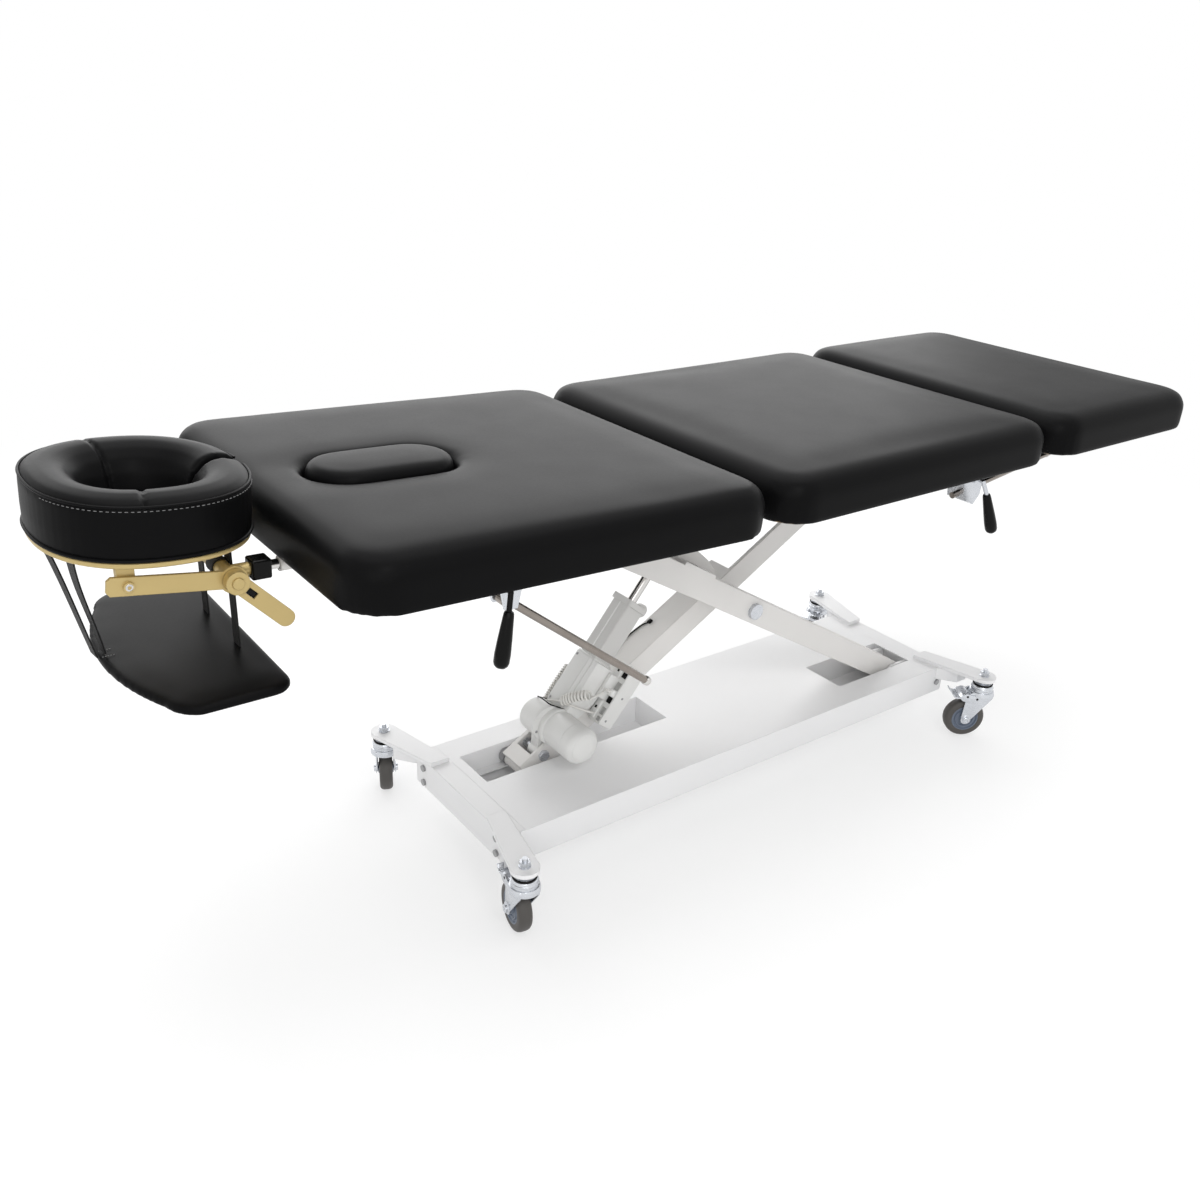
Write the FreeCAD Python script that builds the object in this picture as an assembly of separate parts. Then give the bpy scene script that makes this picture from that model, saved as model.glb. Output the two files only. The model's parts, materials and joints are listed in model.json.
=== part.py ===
import FreeCAD, Part
import math
import os

# Electric treatment table in millimetres.
# X runs along the table with the head end at minus X, Y across it, Z up from the floor.
# The lengths below are counted from the middle of the four caster studs.
# Everything is moved along X at the end, so that the origin is under the middle of the whole table.

V = FreeCAD.Vector
os.makedirs("parts", exist_ok=True)

# Fits
run_fit = 0.06
skin_gap = 0.3
face_gap = 0.5

# Base
base_top = 138.0
base_depth = 60.0
base_half_width = 158.0
tray_margin = 84.25
beam_width = 40.0
flange_beyond = 34.0
sheet_steel = 3.0
head_slot_y = (1.0, 99.0)
foot_slot_y = (-99.0, 1.0)
slot_margins = (20.0, 14.0)
slot_lengths = (420.0, 224.0)
track_depth = 17.0
track_length = 228.0

# Casters
stud_beyond = 60.5
stud_y = 246.6
arm_plate = 8.0
arm_inner_y = 97.0
arm_end_radius = 25.0
stud_radius = 5.0
wheel_radius = 44.0
tread_width = 26.0
trail = 30.0
fork_top = 112.0
fork_sheet = 3.0
cup_radius = 21.0
cup_top = 126.0
axle_radius = 4.0
pedal_pin_radius = 3.0
headings = {"head_near": 80.0, "head_far": 64.0, "foot_near": 146.0, "foot_far": 205.0}

# Scissor
pivot_inset = 48.9
pivot_height = 111.6
half_arm = 525.0
rest_angle = 30.2
tube_height = 50.0
tube_wall = 4.0
arm_a_y = (-80.0, -20.0)
arm_b_y = (20.0, 80.0)
bar_thickness = 8.0
cross_bolt_radius = 10.0
pivot_radius = 8.0
roller_radius = 15.0
roller_width = 13.6

# Actuator
eye_inset = 43.4
eye_rise = 6.4
eye_pin_radius = 6.0
rod_eye_along = -182.0
rod_radius = 10.0
rod_pin_radius = 6.0
slot_travel = (12.0, 4.0)
slot_play = 0.8
actuator_y = 40.0
flange_at = 335.0

# Table top
half_width = 350.0
board_above_pivot = 38.5
board_thickness = 15.0
cushion_height = 73.7
crown = 4.0
edge_radius = 35.0
corner_radius = 62.0
section_gap = 14.0
head_length = 720.0
mid_length = 722.0
foot_length = 491.0
joint_beyond_pivot = 37.85
head_pivot_up = 35.7
foot_pivot_down = 10.3
head_tilt = 2.1
hinge_radius = 4.0
hinge_y = 235.0
frame_height = 20.0
frame_width = 40.0
frame_rail_y = 200.0

# Face opening
plug_from_joint = 510.0
plug_half_length = 115.0
plug_half_width = 62.0
plug_proud = 10.0
plug_gap = 2.5

# Stays
stay_radius = 6.0
stay_y = -281.0
head_lock_from_joint = 465.0
head_lock_down = 44.3
foot_lock_from_joint = 170.0
foot_lock_down = 45.3
stay_pin_beyond_joint = 70.0
stay_pin_down = 14.3
stem_drop = 30.0
grip_drop = 66.0
head_lean = -0.18
foot_lean = 0.38

# Face rest
rest_rod_radius = 7.0
rest_rod_y = 92.0
rest_rod_down = 16.3
rest_axis_beyond = 62.0
bar_y = (116.0, 121.0)
pillow_beyond = 146.0
pillow_radius = 139.0
pillow_up = 59.7
pillow_height = 80.0
plate_thickness = 8.0
shelf_down = 111.3
shelf_thickness = 14.0

# Lengths that follow from the ones above
rest = math.radians(rest_angle)
reach = half_arm * math.cos(rest)
climb = half_arm * math.sin(rest)
tray_half_length = reach + tray_margin
flange_half_length = tray_half_length + flange_beyond
stud_x = tray_half_length + stud_beyond
cross_x = tray_half_length - pivot_inset - reach
cross_z = pivot_height + climb
base_pivot = (cross_x + reach, cross_z - climb)
top_pivot = (cross_x + reach, cross_z + climb)
upper_roller = (cross_x - reach, cross_z + climb)
lower_roller = (cross_x - reach, cross_z - climb)
head_slot_start = -tray_half_length + slot_margins[0]
foot_slot_end = tray_half_length - slot_margins[1]
head_slot = (head_slot_start, head_slot_start + slot_lengths[0]) + head_slot_y
foot_slot = (foot_slot_end - slot_lengths[1], foot_slot_end) + foot_slot_y
board_bottom = top_pivot[1] + board_above_pivot
cushion_top = board_bottom + cushion_height
foot_joint = top_pivot[0] + joint_beyond_pivot
head_joint = foot_joint - mid_length
head_end = head_joint - head_length
foot_end = foot_joint + foot_length
head_pivot_z = board_bottom + head_pivot_up
foot_pivot_z = board_bottom - foot_pivot_down
plug_x = head_joint - plug_from_joint
head_lock_x = head_joint - head_lock_from_joint
head_lock_z = board_bottom - head_lock_down
foot_lock_x = foot_joint - foot_lock_from_joint
foot_lock_z = board_bottom - foot_lock_down
stay_pin_x = foot_joint + stay_pin_beyond_joint
stay_pin_z = board_bottom - stay_pin_down
rest_rod_z = board_bottom - rest_rod_down
rest_axis_x = head_end - rest_axis_beyond
pillow_x = head_end - pillow_beyond
pillow_bottom = board_bottom + pillow_up
shelf_top = board_bottom - shelf_down
eye_along = eye_inset - half_arm
base_bottom = base_top - base_depth
sheet_bottom = base_top - sheet_steel
beam_outer = tray_half_length + beam_width
half_tube = tube_height / 2
frame_bottom = board_bottom - frame_height
rest_front = pillow_x - pillow_radius
origin_shift = -(rest_front + foot_end) / 2


def block(x0, x1, y0, y1, z0, z1):
    """A box between two corners."""
    return Part.makeBox(x1 - x0, y1 - y0, z1 - z0, V(x0, y0, z0))


def across(x, z, y0, y1, radius):
    """A round bar along Y."""
    return Part.makeCylinder(radius, y1 - y0, V(x, y0, z), V(0, 1, 0))


def along(x0, x1, y, z, radius):
    """A round bar along X."""
    return Part.makeCylinder(radius, x1 - x0, V(x0, y, z), V(1, 0, 0))


def post(x, y, z0, z1, radius):
    """A round bar along Z."""
    return Part.makeCylinder(radius, z1 - z0, V(x, y, z0), V(0, 0, 1))


def between(start, end, radius):
    """A round bar between two points."""
    way = end - start
    return Part.makeCylinder(radius, way.Length, start, way)


def upright(points, y0, y1):
    """A plate with its outline in the XZ plane."""
    corners = [V(x, y0, z) for x, z in points]
    wire = Part.makePolygon(corners + corners[:1])
    return Part.Face(wire).extrude(V(0, y1 - y0, 0))


def level(points, z0, z1):
    """A plate with its outline in the XY plane."""
    corners = [V(x, y, z0) for x, y in points]
    wire = Part.makePolygon(corners + corners[:1])
    return Part.Face(wire).extrude(V(0, 0, z1 - z0))


def turned(profile, axis_point, axis, degrees=360.0):
    """A turned body from a closed profile of points."""
    wire = Part.makePolygon(profile + profile[:1])
    return Part.Face(wire).revolve(axis_point, axis, degrees)


def joined(shapes):
    """One solid from overlapping or touching solids."""
    return shapes[0].fuse(shapes[1:]).removeSplitter()


def raised(shape, degrees, x, z):
    """Lays a shape made along +X at a rise in degrees, with its origin at x, z."""
    laid = shape.copy()
    laid.rotate(V(0, 0, 0), V(0, 1, 0), -degrees)
    laid.translate(V(x, 0, z))
    return laid


def tipped(shape):
    """Turns a head section piece from flat to its rest angle."""
    laid = shape.copy()
    laid.rotate(V(head_joint, 0, head_pivot_z), V(0, 1, 0), head_tilt)
    return laid


def mirrored(shape):
    """The same piece on the other side of the table."""
    return shape.mirror(V(0, 0, 0), V(0, 1, 0))


def pair(shape):
    """A piece and its mirror image as two solids."""
    return Part.makeCompound([shape, mirrored(shape)])


def save(name, shape):
    """Writes one node."""
    shape.translate(V(origin_shift, 0, 0))
    shape.exportStep("parts/" + name + ".step")
    print(name, "solids", len(shape.Solids), "valid", shape.isValid(), "cm3", round(shape.Volume / 1000, 1))


def tip_point(x, z):
    """Where a point of the flat head section lies at rest."""
    turn = math.radians(head_tilt)
    away_x = x - head_joint
    away_z = z - head_pivot_z
    rest_x = head_joint + away_x * math.cos(turn) + away_z * math.sin(turn)
    rest_z = head_pivot_z - away_x * math.sin(turn) + away_z * math.cos(turn)
    return rest_x, rest_z


def hexagon(x, y, z0, z1, width):
    """A hexagon nut blank."""
    reach_out = width / math.sqrt(3)
    corners = []
    for number in range(6):
        turn = math.radians(60 * number + 12)
        corners.append((x + reach_out * math.cos(turn), y + reach_out * math.sin(turn)))
    return level(corners, z0, z1)


# Base tray with the troughs under its two slots and the track for the lower roller
def base_tray():
    top = block(-tray_half_length, tray_half_length, -base_half_width, base_half_width, sheet_bottom, base_top)
    side = block(-flange_half_length, flange_half_length, base_half_width - sheet_steel, base_half_width,
                 base_bottom, base_top)
    shell = [top, side, mirrored(side)]
    for x0, x1, y0, y1 in (head_slot, foot_slot):
        low_x = max(x0 - sheet_steel, -tray_half_length)
        high_x = min(x1 + sheet_steel, tray_half_length)
        trough = block(low_x, high_x, y0 - sheet_steel, y1 + sheet_steel, base_bottom, base_top)
        trough = trough.cut(block(low_x + sheet_steel, high_x - sheet_steel, y0, y1,
                                  base_bottom + sheet_steel, base_top))
        if x0 > 0:
            ear_way = block(high_x - sheet_steel - 1, high_x + 1, y0, y1,
                            base_bottom + sheet_steel, sheet_bottom)
            trough = trough.cut(ear_way)
        shell.append(trough)
    tray = joined(shell)
    for x0, x1, y0, y1 in (head_slot, foot_slot):
        tray = tray.cut(block(x0, x1, y0, y1, sheet_bottom - 1, base_top + 1))
    track_top = lower_roller[1] - roller_radius - skin_gap
    track = block(head_slot[0], head_slot[0] + track_length, head_slot[3] - track_depth, head_slot[3] + 1,
                  track_top - sheet_steel, track_top)
    tray = joined([tray, track])
    for bolt in rail_bolt_places():
        hole = across(bolt[0], bolt[2], bolt[1] - 20, bolt[1] + 20, bolt_radius + run_fit)
        tray = tray.cut(hole)
    return tray


bolt_radius = 3.5
bolt_head = 6.5
bolt_head_height = 4.0
bolt_length = 14.0
rail_bolt_out = 17.0
rail_bolt_down = 36.0
beam_bolt_in = 30.0
beam_bolt_down = (19.0, 50.0)
web_depth = 26.0


def rail_bolt_places():
    """Bolts through the tray flanges into the beam ends."""
    places = []
    for x in (-tray_half_length - rail_bolt_out, tray_half_length + rail_bolt_out):
        for y in (-base_half_width, base_half_width):
            places.append((x, y, base_top - rail_bolt_down))
    return places


def beam_bolt_places():
    """Bolts through the outer face of each beam."""
    places = []
    for x in (-beam_outer, beam_outer):
        for y in (beam_bolt_in - base_half_width, base_half_width - beam_bolt_in):
            for down in beam_bolt_down:
                places.append((x, y, base_top - down))
    return places


def beam(side):
    """A cross beam at the head (-1) or foot (1) end, open below."""
    end_y = base_half_width - sheet_steel
    inner = side * tray_half_length
    outer = side * beam_outer
    shell = block(min(inner, outer), max(inner, outer), -end_y, end_y, base_bottom, base_top)
    hollow = block(min(inner, outer) + sheet_steel, max(inner, outer) - sheet_steel,
                   -end_y + sheet_steel, end_y - sheet_steel, base_bottom - 1, sheet_bottom)
    shell = shell.cut(hollow)
    for x, y, z in beam_bolt_places():
        if x * side > 0:
            shell = shell.cut(along(x - 20, x + 20, y, z, bolt_radius + run_fit))
    for x, y, z in rail_bolt_places():
        if x * side > 0:
            shell = shell.cut(across(x, z, y - 20, y + 20, bolt_radius + run_fit))
    return shell


ear_gap = 2.0
ear_thickness = 6.0


def foot_beam():
    """The foot beam carries the two ears that arm A turns between."""
    ears = []
    for y0 in (arm_a_y[0] - ear_gap - ear_thickness, arm_a_y[1] + ear_gap):
        pivot_x, pivot_z = base_pivot
        plate = block(pivot_x, tray_half_length + 1, y0, y0 + ear_thickness, pivot_z - 20, pivot_z + 20)
        ears.append(joined([plate, across(pivot_x, pivot_z, y0, y0 + ear_thickness, 20)]))
    whole = joined([beam(1)] + ears)
    bore = across(base_pivot[0], base_pivot[1], -120, 20, pivot_radius + run_fit)
    return whole.cut(bore)


def frame_bolts():
    bolts = []
    for x, y, z in beam_bolt_places():
        if x > 0:
            head = along(x, x + bolt_head_height, y, z, bolt_head)
            shank = along(x - bolt_length, x, y, z, bolt_radius)
        else:
            head = along(x - bolt_head_height, x, y, z, bolt_head)
            shank = along(x, x + bolt_length, y, z, bolt_radius)
        bolts.append(joined([head, shank]))
    for x, y, z in rail_bolt_places():
        if y > 0:
            head = across(x, z, y, y + bolt_head_height, bolt_head)
            shank = across(x, z, y - bolt_length, y, bolt_radius)
        else:
            head = across(x, z, y - bolt_head_height, y, bolt_head)
            shank = across(x, z, y, y + bolt_length, bolt_radius)
        bolts.append(joined([head, shank]))
    return Part.makeCompound(bolts)


def caster_arm():
    """The plate and web that carry the caster at +X, +Y."""
    plate = level([(beam_outer + 2, arm_inner_y), (tray_half_length + 4, arm_inner_y),
                   (stud_x - arm_end_radius, stud_y), (stud_x + arm_end_radius, stud_y)],
                  base_top, base_top + arm_plate)
    end = post(stud_x, stud_y, base_top, base_top + arm_plate, arm_end_radius)
    web = level([(beam_outer - 2, base_half_width), (beam_outer - 30, base_half_width),
                 (stud_x - 22, stud_y - 50), (stud_x + 8, stud_y - 50)], base_top - web_depth, base_top + 1)
    arm = joined([plate, end, web])
    return arm.cut(post(stud_x, stud_y, base_top - 1, base_top + arm_plate + 1, stud_radius + run_fit))


def four_corners(shape):
    far_head = shape.mirror(V(0, 0, 0), V(1, 0, 0))
    return [shape, mirrored(shape), far_head, mirrored(far_head)]


def caster_stem():
    """A stud with its upper race, and the washer and nut that hold it."""
    plate_top = base_top + arm_plate
    race = post(stud_x, stud_y, cup_top + skin_gap, cup_top + 4, 19)
    neck = post(stud_x, stud_y, cup_top + 4, base_top, 11)
    stud = post(stud_x, stud_y, cup_top + 4, plate_top + 16, stud_radius)
    washer = post(stud_x, stud_y, plate_top, plate_top + 2, 10.5)
    nut = hexagon(stud_x, stud_y, plate_top + 2, plate_top + 10, 17)
    bore = post(stud_x, stud_y, plate_top - 1, plate_top + 30, stud_radius + run_fit)
    return Part.makeCompound([joined([race, neck, stud]), washer.cut(bore), nut.cut(bore)])


# Casters, made with the stud on Z and the wheel behind it along +X
leg_inner = tread_width / 2 + 2
leg_outer = leg_inner + fork_sheet


def fork():
    legs = []
    for y0 in (leg_inner, -leg_outer):
        outline = [(-21, fork_top), (21, fork_top), (trail + 10, wheel_radius + 16), (trail + 11, wheel_radius),
                   (trail, wheel_radius - 11), (trail - 11, wheel_radius), (-10, wheel_radius + 36)]
        legs.append(upright(outline, y0, y0 + fork_sheet))
    crown_plate = post(0, 0, fork_top - fork_sheet, fork_top, 26)
    cup = post(0, 0, fork_top, cup_top, cup_radius)
    axle = across(trail, wheel_radius, -leg_outer - 3, leg_outer + 3, axle_radius)
    heads = [across(trail, wheel_radius, leg_outer, leg_outer + 3, 7),
             across(trail, wheel_radius, -leg_outer - 3, -leg_outer, 7)]
    whole = joined([crown_plate, cup, axle] + legs + heads)
    return whole.cut(across(pedal_pin[0], pedal_pin[1], -30, 30, pedal_pin_radius + run_fit))


pedal_pin = (14.0, 97.0)


def wheel():
    half = tread_width / 2
    inner = axle_radius + run_fit
    profile = [V(inner, 0, -half - 1.5), V(10, 0, -half - 1.5), V(12, 0, -half + 4), V(27, 0, -half + 4),
               V(31, 0, -half + 1), V(wheel_radius - 6, 0, -half), V(wheel_radius - 1.5, 0, -half + 4),
               V(wheel_radius, 0, -half + 9), V(wheel_radius, 0, half - 9), V(wheel_radius - 1.5, 0, half - 4),
               V(wheel_radius - 6, 0, half), V(31, 0, half - 1), V(27, 0, half - 4), V(12, 0, half - 4),
               V(10, 0, half + 1.5), V(inner, 0, half + 1.5)]
    body = turned(profile, V(0, 0, 0), V(0, 0, 1))
    body.rotate(V(0, 0, 0), V(1, 0, 0), 90)
    body.translate(V(trail, 0, wheel_radius))
    return body


def pedal():
    x, z = pedal_pin
    side = leg_inner - face_gap
    hub = across(x, z, -side, side, 5)
    pin = across(x, z, -leg_outer, leg_outer, pedal_pin_radius)
    tread = upright([(x, z - 2), (x + 36, z - 4), (x + 54, z + 6), (x + 53, z + 9), (x + 35, z), (x, z + 3)],
                    -side, side)
    toe = upright([(x + 34, z - 4), (x + 54, z + 6), (x + 53, z + 9), (x + 34, z)], -22, 22)
    return joined([hub, pin, tread, toe])


def casters():
    pieces = {}
    for corner, heading in headings.items():
        x = -stud_x if corner.startswith("head") else stud_x
        y = -stud_y if corner.endswith("near") else stud_y
        for kind, shape in (("fork", fork()), ("wheel", wheel()), ("pedal", pedal())):
            shape.rotate(V(0, 0, 0), V(0, 0, 1), heading)
            shape.translate(V(x, y, 0))
            pieces[kind + "_" + corner] = shape
    return pieces


# Scissor arms, made along +X with the crossing at the origin
def arm_tube(y0, y1, low, high, round_low, round_high):
    """A rectangular tube between two places along the arm, with rounded ends where asked."""
    shell = block(low, high, y0, y1, -half_tube, half_tube)
    ends = []
    if round_low:
        ends.append(across(low, 0, y0, y1, half_tube))
    if round_high:
        ends.append(across(high, 0, y0, y1, half_tube))
    if ends:
        shell = joined([shell] + ends)
    half_hollow = half_tube - tube_wall
    hollow = block(low - 60, high + 60, y0 + tube_wall, y1 - tube_wall, -half_hollow, half_hollow)
    return shell.cut(hollow)


bracket_thickness = 6.0
rod_ear_y = (18.0, 56.0)


def arm_a():
    y0, y1 = arm_a_y
    tube = arm_tube(y0, y1, -half_arm, half_arm, True, True)
    cross_boss = across(0, 0, y0, y1, cross_bolt_radius + 8)
    pivot_boss = across(half_arm, 0, y0, y1, pivot_radius + 7)
    tip_boss = across(-half_arm, 0, y0, y1, pivot_radius + 5)
    roller_stub = across(-half_arm, 0, y1 - 1, roller_a_y[1] + face_gap + 2, pivot_radius)
    roller_cap = across(-half_arm, 0, roller_a_y[1] + face_gap, roller_a_y[1] + face_gap + 2, pivot_radius + 3)
    plate_y1 = rod_ear_y[1] + bracket_thickness
    low = rod_eye_along - 50
    plate = block(low, rod_eye_along + 38, y0, plate_y1, half_tube, half_tube + bracket_thickness)
    ears = []
    for ear_y in rod_ear_y:
        ears.append(block(rod_eye_along - 32, rod_eye_along + 24, ear_y, ear_y + bracket_thickness,
                          -18, half_tube + 1))
    gusset = upright([(-85, half_tube), (-95, half_tube + 12), (-125, half_tube + 24), (-165, half_tube + 32),
                      (low, half_tube + 34), (low, half_tube)], y1 - bracket_thickness, y1)
    whole = joined([tube, cross_boss, pivot_boss, tip_boss, roller_stub, roller_cap, plate, gusset] + ears)
    slot_radius = rod_pin_radius + slot_play
    slot_low = rod_eye_along - slot_travel[0]
    slot_high = rod_eye_along + slot_travel[1]
    near = rod_ear_y[0] - 1
    far = plate_y1 + 1
    slot = joined([across(slot_low, 0, near, far, slot_radius), across(slot_high, 0, near, far, slot_radius),
                   block(slot_low, slot_high, near, far, -slot_radius, slot_radius)])
    whole = whole.cut(slot)
    whole = whole.cut(across(0, 0, y0 - 1, y1 + 1, cross_bolt_radius + run_fit))
    return whole.cut(across(half_arm, 0, y0 - 1, y1 + 1, pivot_radius + run_fit))


roller_a_y = (-17.0, -17.0 + roller_width)
roller_b_y = (83.5, 83.5 + roller_width)
arm_b_beyond = 6.0


def arm_b():
    y0, y1 = arm_b_y
    tube = arm_tube(y0, y1, -half_arm - arm_b_beyond, 44, False, False)
    cross_boss = across(0, 0, y0, y1, cross_bolt_radius + 8)
    tip_boss = across(-half_arm, 0, y0, y1, pivot_radius + 5)
    bar = joined([block(20, half_arm, y0, y0 + bar_thickness, -half_tube, half_tube),
                  across(half_arm, 0, y0, y0 + bar_thickness, half_tube)])
    roller_stub = across(-half_arm, 0, y1 - 1, roller_b_y[1] + face_gap + 1, pivot_radius)
    roller_cap = across(-half_arm, 0, roller_b_y[1] + face_gap, roller_b_y[1] + face_gap + 1, pivot_radius + 3)
    end_plate = block(40, 44, y0, y1, -half_tube, half_tube)
    whole = joined([tube, bar, end_plate, roller_stub, roller_cap])
    mouth = block(eye_along - 18, eye_along + 74, y0 + tube_wall + 1, y1 - 9, 0, half_tube + 2)
    whole = whole.cut(mouth)
    whole = joined([whole, cross_boss, tip_boss])
    whole = whole.cut(across(0, 0, y0 - 1, y1 + 1, cross_bolt_radius + run_fit))
    whole = whole.cut(across(half_arm, 0, y0 - 1, y1, pivot_radius + run_fit))
    return whole.cut(across(eye_along, eye_rise, y0 - 1, y1 + 1, eye_pin_radius + run_fit))


def roller(y_range, along_arm):
    body = across(along_arm, 0, y_range[0], y_range[1], roller_radius)
    return body.cut(across(along_arm, 0, y_range[0] - 1, y_range[1] + 1, pivot_radius + run_fit))


def scissor_bolt():
    shank = across(0, 0, arm_a_y[0] - 8, arm_b_y[1] + 9, cross_bolt_radius)
    near_head = across(0, 0, arm_a_y[0] - 8, arm_a_y[0], cross_bolt_radius + 6)
    spacer = across(0, 0, arm_a_y[1], arm_b_y[0], cross_bolt_radius + 6)
    far_nut = across(0, 0, arm_b_y[1], arm_b_y[1] + 9, cross_bolt_radius + 6)
    return joined([shank, near_head, spacer, far_nut])


def pivot_bolt(x, z, y0, y1):
    shank = across(x, z, y0 - 6, y1 + 6, pivot_radius)
    near_head = across(x, z, y0 - 6, y0, pivot_radius + 5)
    far_head = across(x, z, y1, y1 + 6, pivot_radius + 5)
    return joined([shank, near_head, far_head])


def eye_bolt():
    """The hexagon bolt through arm B and the lower eye, with the spacer that fills the tube."""
    y0, y1 = arm_b_y
    shank = across(0, 0, y0 - bolt_hex_height, y1 + bolt_hex_height, eye_pin_radius)
    spacer = across(0, 0, actuator_y + eye_half + face_gap, y1 - tube_wall - skin_gap, eye_pin_radius + 3)
    heads = []
    for y in (y0, y1 + bolt_hex_height):
        head = hexagon(0, 0, 0, bolt_hex_height, bolt_hex)
        head.rotate(V(0, 0, 0), V(1, 0, 0), 90)
        head.translate(V(0, y, 0))
        heads.append(head)
    return joined([shank, spacer] + heads)


# Actuator, made along +X from its lower eye, with its broad face up
eye_half = 14.0
bolt_hex = 19.0
bolt_hex_height = 7.0
eye_x = cross_x + eye_along * math.cos(rest) - eye_rise * math.sin(rest)
eye_z = cross_z + eye_along * math.sin(rest) + eye_rise * math.cos(rest)
rod_eye_x = cross_x + rod_eye_along * math.cos(rest)
rod_eye_z = cross_z - rod_eye_along * math.sin(rest)
actuator_length = math.hypot(rod_eye_x - eye_x, rod_eye_z - eye_z)
actuator_rise = math.degrees(math.atan2(rod_eye_z - eye_z, rod_eye_x - eye_x))
slab = (92.0, 203.0, 0.0, 66.0)
slab_face = 27.0
tube_side = 46.0
flange_side = 54.0
flange_thickness = 12.0
lug_radius = 13.0
lug_bore = 7.5
motor_at = (60.0, 20.0)
motor_radius = 35.0
motor_length = 98.0
drum_at = (58.0, 36.0)
drum_radius = 33.0
drum_y = (16.0, 70.0)


def rounded_bar(x0, x1, y_mid, z_mid, side, radius):
    """A bar along X with a rounded square section."""
    bar = block(x0, x1, y_mid - side / 2, y_mid + side / 2, z_mid - side / 2, z_mid + side / 2)
    long_edges = [edge for edge in bar.Edges if abs(edge.tangentAt(edge.FirstParameter).x) > 0.9]
    return bar.makeFillet(radius, long_edges)


def actuator_housing():
    eye = across(0, 0, actuator_y - eye_half, actuator_y + eye_half, 14)
    neck = upright([(0, -10), (38, 4), (60, 8), (60, 30), (30, 30), (0, 13)], actuator_y - 12, actuator_y + 12)
    drum = across(drum_at[0], drum_at[1], drum_y[0], drum_y[1], drum_radius)
    x0, x1, y0, y1 = slab
    body = upright([(x0 - 12, 6), (x0, -8), (x0 + 38, -23), (x1, -slab_face), (x1, slab_face),
                    (x0 - 12, slab_face)], y0, y1)
    face_edges = [edge for edge in body.Edges if edge.BoundBox.ZMin > slab_face - 2]
    body = body.makeFillet(8, [edge for edge in face_edges if edge.BoundBox.YLength < 1])
    whole = joined([eye, neck, drum, body])
    whole = whole.cut(across(0, 0, actuator_y - 20, actuator_y + 20, eye_pin_radius + run_fit))
    return whole.cut(along(x1 - 30, x1 + 1, actuator_y, 0, rod_radius + skin_gap))


def motor():
    x, z = motor_at
    near = drum_y[0] - motor_length
    barrel = across(x, z, near + 8, drum_y[0], motor_radius)
    cap = Part.makeCone(motor_radius - 9, motor_radius, 8, V(x, near, z), V(0, 1, 0))
    ring = across(x, z, drum_y[0] - 12, drum_y[0], motor_radius + 2)
    slab_room = block(slab[0] - 13, slab[1], slab[2], drum_y[0] + 1, -40, slab_face + 1)
    return joined([barrel, cap, ring]).cut(slab_room)


def actuator_tube():
    flange_low = flange_at - flange_thickness
    tube = rounded_bar(slab[1], flange_low, actuator_y, 0, tube_side, 4)
    flange = rounded_bar(flange_low, flange_at, actuator_y, 0, flange_side, 6)
    lug_x = flange_at - flange_thickness / 2
    lug_z = -flange_side / 2 - lug_bore
    lug = across(lug_x, lug_z, actuator_y - 5, actuator_y + 5, lug_radius)
    lug = lug.cut(across(lug_x, lug_z, actuator_y - 6, actuator_y + 6, lug_bore))
    whole = joined([tube, flange, lug])
    return whole.cut(along(slab[1] - 1, flange_at + 1, actuator_y, 0, rod_radius + skin_gap))


def actuator_rod():
    shaft = along(268, actuator_length - 8, actuator_y, 0, rod_radius)
    eye = across(actuator_length, 0, actuator_y - 13, actuator_y + 13, 13)
    pin = across(actuator_length, 0, rod_ear_y[0] - 3, rod_ear_y[1] + bracket_thickness + 3, rod_pin_radius)
    return joined([shaft, eye, pin])


box_at = (104.0, 230.0)
box_face = -38.0
box_foot = -76.0
box_near = -24.0
box_far = 14.0


def control_box():
    case = block(box_at[0], box_at[1], box_near, box_far, box_foot, box_face)
    outer = [edge for edge in case.Edges if edge.BoundBox.YLength < 1 and edge.BoundBox.YMin < box_near + 1]
    case = case.makeFillet(4, outer)
    hanger = block(slab[1] - 55, slab[1] - 5, slab[2] - 8, slab[2], box_face - 4, -12)
    return joined([case, hanger])


coil_turns = 9
coil_radius = 6.6
coil_wire = 2.3
coil_start = V(108, 14, 37.5)
coil_end = V(146, -30, 30)
coil_foot = V(168, -13, box_face)


def arc_piece(start, corner, end):
    """An arc from start to end whose end tangents meet at the corner point."""
    chord = end - start
    middle = (start + end) * 0.5
    rise = corner - middle
    turn = math.atan2(rise.Length, chord.Length / 2)
    if rise.Length < 1e-6:
        return Part.LineSegment(start, end).toShape()
    top = middle + rise * (math.tan(turn / 2) / math.tan(turn))
    return Part.Arc(start, top, end).toShape()


def two_arcs(start, start_way, end, end_way):
    """Two arcs that leave start along one direction and reach end along another."""
    gap = end - start
    spread = 2 * (1 - start_way.dot(end_way))
    lean = gap.dot(start_way + end_way)
    if spread < 1e-9:
        length = gap.dot(gap) / (2 * lean)
    else:
        length = (-lean + math.sqrt(lean * lean + spread * gap.dot(gap))) / spread
    first = start + start_way * length
    second = end - end_way * length
    meet = (first + second) * 0.5
    return [arc_piece(start, first, meet), arc_piece(meet, second, end)]


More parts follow.
